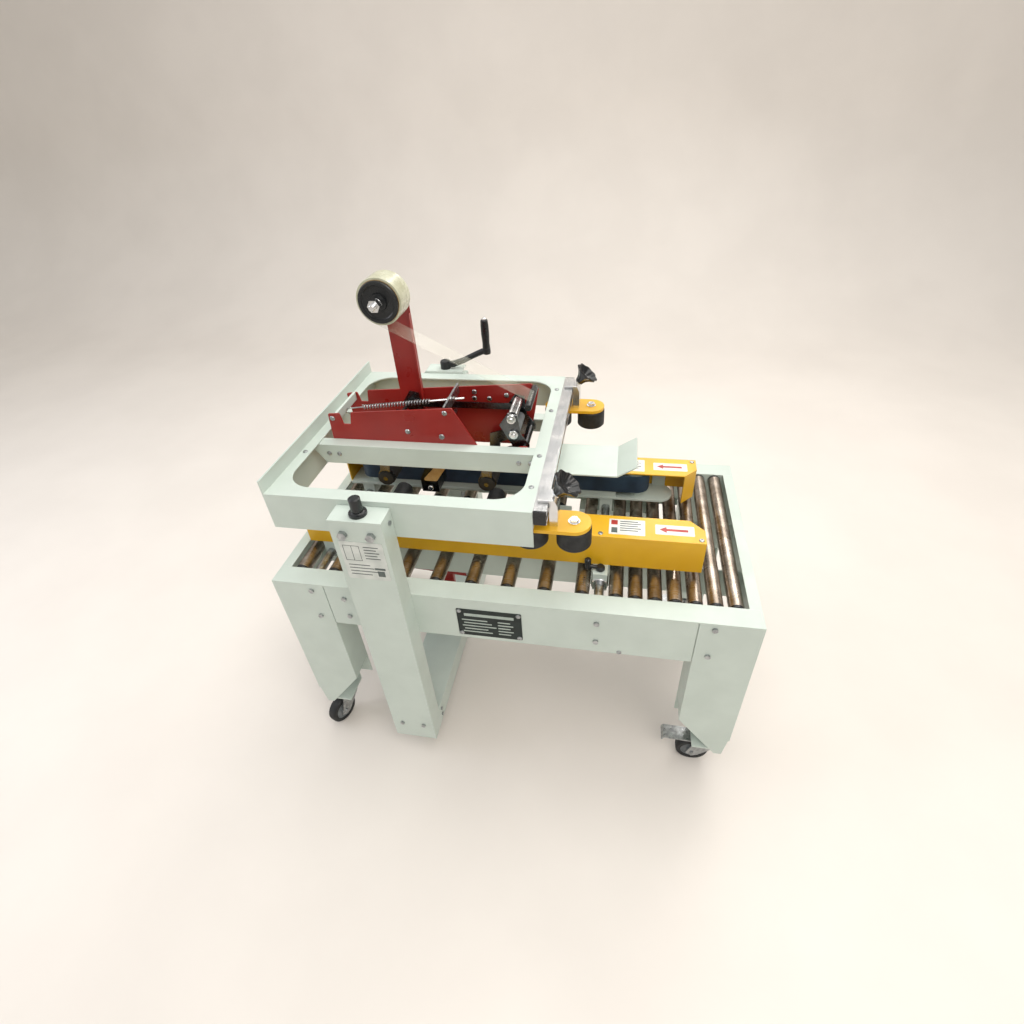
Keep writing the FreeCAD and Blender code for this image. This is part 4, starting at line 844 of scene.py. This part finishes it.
FILM_ALPHA = 0.09
ROLLER_X = 33
ROLLER_Z = 843
ROLLER_HALF = 7.2
film, tree, shader, place = finish_of("clear_tape_film", 0, IOR=1.49, Alpha=FILM_ALPHA)
tree.links.new(blotches(tree, place, 40, TAPE, "#e6e6d8"), shader.inputs["Base Color"])
gloss_range(tree, shader, place, 20, 0.08, 0.2)
run = Vector((ROLLER_X - REEL_X, ROLLER_Z - REEL_Z))
turn = atan2(run.y, run.x) + pi / 2 + asin((TAPE_RADIUS + ROLLER_HALF) / run.length)
outward = Vector((cos(turn), sin(turn)))
leaves = Vector((REEL_X, REEL_Z)) - outward * (TAPE_RADIUS + 0.3)
meets = Vector((ROLLER_X, ROLLER_Z)) + outward * (ROLLER_HALF + 0.1)
bm = bmesh.new()
prism(bm, [leaves, meets, meets + outward * 0.15, leaves + outward * 0.15], -24, 24, "y")
piece("tape_web", bm, film, "head_carriage", 0)

# ------------------------------------------------ knife holder and main spring
# The knife holder is dark phosphated steel with a tan plastic guard. The main spring is wound spring
# wire, hooked on the white bar and drawn by a threaded rod with two nuts.
phosphate = zinc_plate("phosphated_steel", "#3d4144", "#2b2e30")
coat(phosphate, "cutter_arm")
bm = bmesh.new()
prism(bm, rounded([(-216, 650), (-182, 650), (-146, 704), (-168, 704)], 4), -36, -33.4, "y")
piece("knife_guard", bm, fibre, "cutter_body", 0.3)
bm = bmesh.new()
lathe(bm, [(0, -40), (4.5, -40), (6.5, -38.4), (6.5, -33.5), (0, -33.5)], (-198, 632, 0), "y", steps=24)
piece("knife_knob", bm, bright_chrome, "cutter_body", 0)

SPRING_START = Vector((-376, 0, 806))
SPRING_RISE = radians(7.3)
SPRING_TURNS = 24
COIL_RADIUS = 4.3
COIL_START = 40
COIL_LENGTH = 156
COIL_WIRE = 1.2
ROD_START = 192
ROD_LENGTH = 80
spring_steel = zinc_plate("spring_steel", "#cfd1d1", "#a9acad")
along = Vector((cos(SPRING_RISE), 0, sin(SPRING_RISE)))
over = Vector((-sin(SPRING_RISE), 0, cos(SPRING_RISE)))


def on_spring(distance, sideways=0.0, above=0.0):
    """A point beside the spring's centre line, in mm from its hook."""
    return SPRING_START + along * distance + over * above + Vector((0, sideways, 0))


bm = bmesh.new()
steps = SPRING_TURNS * 12
coil = [on_spring(COIL_START + COIL_LENGTH * k / steps, COIL_RADIUS * sin(2 * pi * k / 12),
                  COIL_RADIUS * cos(2 * pi * k / 12)) for k in range(steps + 1)]
tube(bm, coil, [COIL_WIRE] * len(coil), steps=8)
tube(bm, [on_spring(d) for d in (1, 42)], [1.4, 1.4], steps=10)
piece("spring_coils", bm, spring_steel, "head_carriage", 0, ("main_spring",))
bm = bmesh.new()
rod_points = [on_spring(ROD_START + k) for k in range(ROD_LENGTH + 1)]
tube(bm, rod_points, [2.5 if k % 2 else 2.1 for k in range(ROD_LENGTH + 1)], steps=12)
for distance in (236, 248):
    tube(bm, [on_spring(distance), on_spring(distance + 5)], [5.6, 5.6], steps=6)
piece("spring_rod", bm, bright_chrome, "head_carriage", 0)

# ------------------------------------------------ switch box and stop button
# The box under the far rail is folded sheet. Its mushroom button is red moulded ABS in a yellow
# collar, and the mains lead would enter through a black nylon gland nut.
button_low, button_high = [[v / MM for v in corner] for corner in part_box("stop_button")]
button_x = (button_low[0] + button_high[0]) / 2
button_z = (button_low[2] + button_high[2]) / 2
button_front = button_high[1]
red_abs = moulded("red_abs", "#a81f1b", "#b52a24", 0.32, 0.8, 0.02)
bm = bmesh.new()
lathe(bm, [(0, button_front), (9, button_front - 0.8), (14, button_front - 3.4),
           (15, button_front - 6.2), (14.4, button_front - 9), (7.3, button_front - 9.6),
           (7.3, button_front - 28), (0, button_front - 28)], (button_x, button_z, 0), "y")
piece("button_head", bm, red_abs, "button_body", 0, ("stop_button",))
bm = bmesh.new()
lathe(bm, [(15.7, 269.1), (19.4, 269.1), (19.4, 270), (17.9, 271), (15.7, 271)], (button_x, button_z, 0), "y",
      ring=True)
piece("button_collar_ring", bm, moulded("yellow_abs", "#dcae22", "#e4b832", 0.4, 0.8, 0.02), "machine_frame",
      0)
bm = bmesh.new()
gland_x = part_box("switch_box")[1][0] / MM
lathe(bm, [(4.6, -14), (12, -14), (12.2, -5), (10.6, 0), (4.6, 0)], (231, button_z, gland_x), "x",
      ring=True, steps=12)
piece("gland_nut", bm, nylon, "machine_frame", 0.3)

# ------------------------------------------------ floor, light and camera
# A pale floor that curves up behind the machine, with four broad soft lamps and a warm pale sky.
FLOOR = "#e4ded7"
SWEEP_START = 2.2
SWEEP_RADIUS = 1.2
floor_finish, tree, shader, place = finish_of("pale_floor", 0, Roughness=0.55)
tree.links.new(blotches(tree, place, 400, "#e0dad3", FLOOR), shader.inputs["Base Color"])
bm = bmesh.new()
profile = [(-5, 0), (SWEEP_START, 0)]
profile += [(SWEEP_START + SWEEP_RADIUS * sin(pi / 2 * k / 16), SWEEP_RADIUS * (1 - cos(pi / 2 * k / 16)))
            for k in range(1, 17)]
profile.append((SWEEP_START + SWEEP_RADIUS, 2.3))
edges = [[bm.verts.new((x, y, z)) for y, z in profile] for x in (-9, 9)]
for k in range(len(profile) - 1):
    bm.faces.new((edges[0][k], edges[1][k], edges[1][k + 1], edges[0][k + 1]))
floor_mesh = bpy.data.meshes.new("floor")
bm.to_mesh(floor_mesh)
bm.free()
floor_mesh.shade_smooth()
floor_mesh.materials.append(floor_finish)
floor = bpy.data.objects.new("floor", floor_mesh)
bpy.context.scene.collection.objects.link(floor)


def lamp(name, place, aim, width, power, colour):
    light = bpy.data.lights.new(name, "AREA")
    light.shape = "RECTANGLE"
    light.size, light.size_y = width
    light.energy = power
    light.color = linear(colour)[:3]
    made = bpy.data.objects.new(name, light)
    made.location = place
    made.rotation_euler = (Vector(aim) - Vector(place)).to_track_quat("-Z", "Y").to_euler()
    bpy.context.scene.collection.objects.link(made)


MIDDLE = (0, 0, 0.55)
lamp("window_lamp", (1.2, -1.9, 3.2), MIDDLE, (2.2, 1.6), 46, "#fff8f0")
lamp("ceiling_lamp", (0.2, 0.4, 3.4), MIDDLE, (2.6, 2.0), 40, "#fffdf8")
lamp("side_lamp", (-3.0, -0.6, 2.0), MIDDLE, (1.8, 1.8), 26, "#f2f5ff")
lamp("back_lamp", (0.9, 2.0, 2.6), MIDDLE, (2.0, 0.8), 28, "#fffaf4")

world = bpy.data.worlds.new("pale_room")
bpy.context.scene.world = world
world.use_nodes = True
sky = world.node_tree
ray = add(sky, "TexCoord", {}).outputs["Generated"]
height = add(sky, "SeparateXYZ", {"Vector": ray})
fade = add(sky, "ValToRGB", {"Fac": height.outputs["Z"]})
fade.color_ramp.elements[0].color = linear("#aca8a2")
fade.color_ramp.elements[1].color = linear("#f3f1ee")
fade.color_ramp.elements[1].position = 0.55
sky.links.new(fade.outputs["Color"], sky.nodes["Background"].inputs["Color"])
sky.nodes["Background"].inputs["Strength"].default_value = 0.8

eye = bpy.data.cameras.new("eye")
eye.lens = 19.55
eye.sensor_width = 36
eye.shift_x = -0.0016
eye.shift_y = -0.0133
camera = bpy.data.objects.new("eye", eye)
right = Vector((0.98244, 0.17788, -0.05624))
up = Vector((-0.06376, 0.60345, 0.79485))
back = Vector((0.17532, -0.77731, 0.60420))
turn = Matrix((right, up, back)).transposed().to_4x4()
camera.matrix_world = Matrix.Translation((0.208, -0.9974, 1.3632)) @ turn
bpy.context.scene.collection.objects.link(camera)
bpy.context.scene.camera = camera
bpy.context.scene.view_settings.view_transform = "Standard"
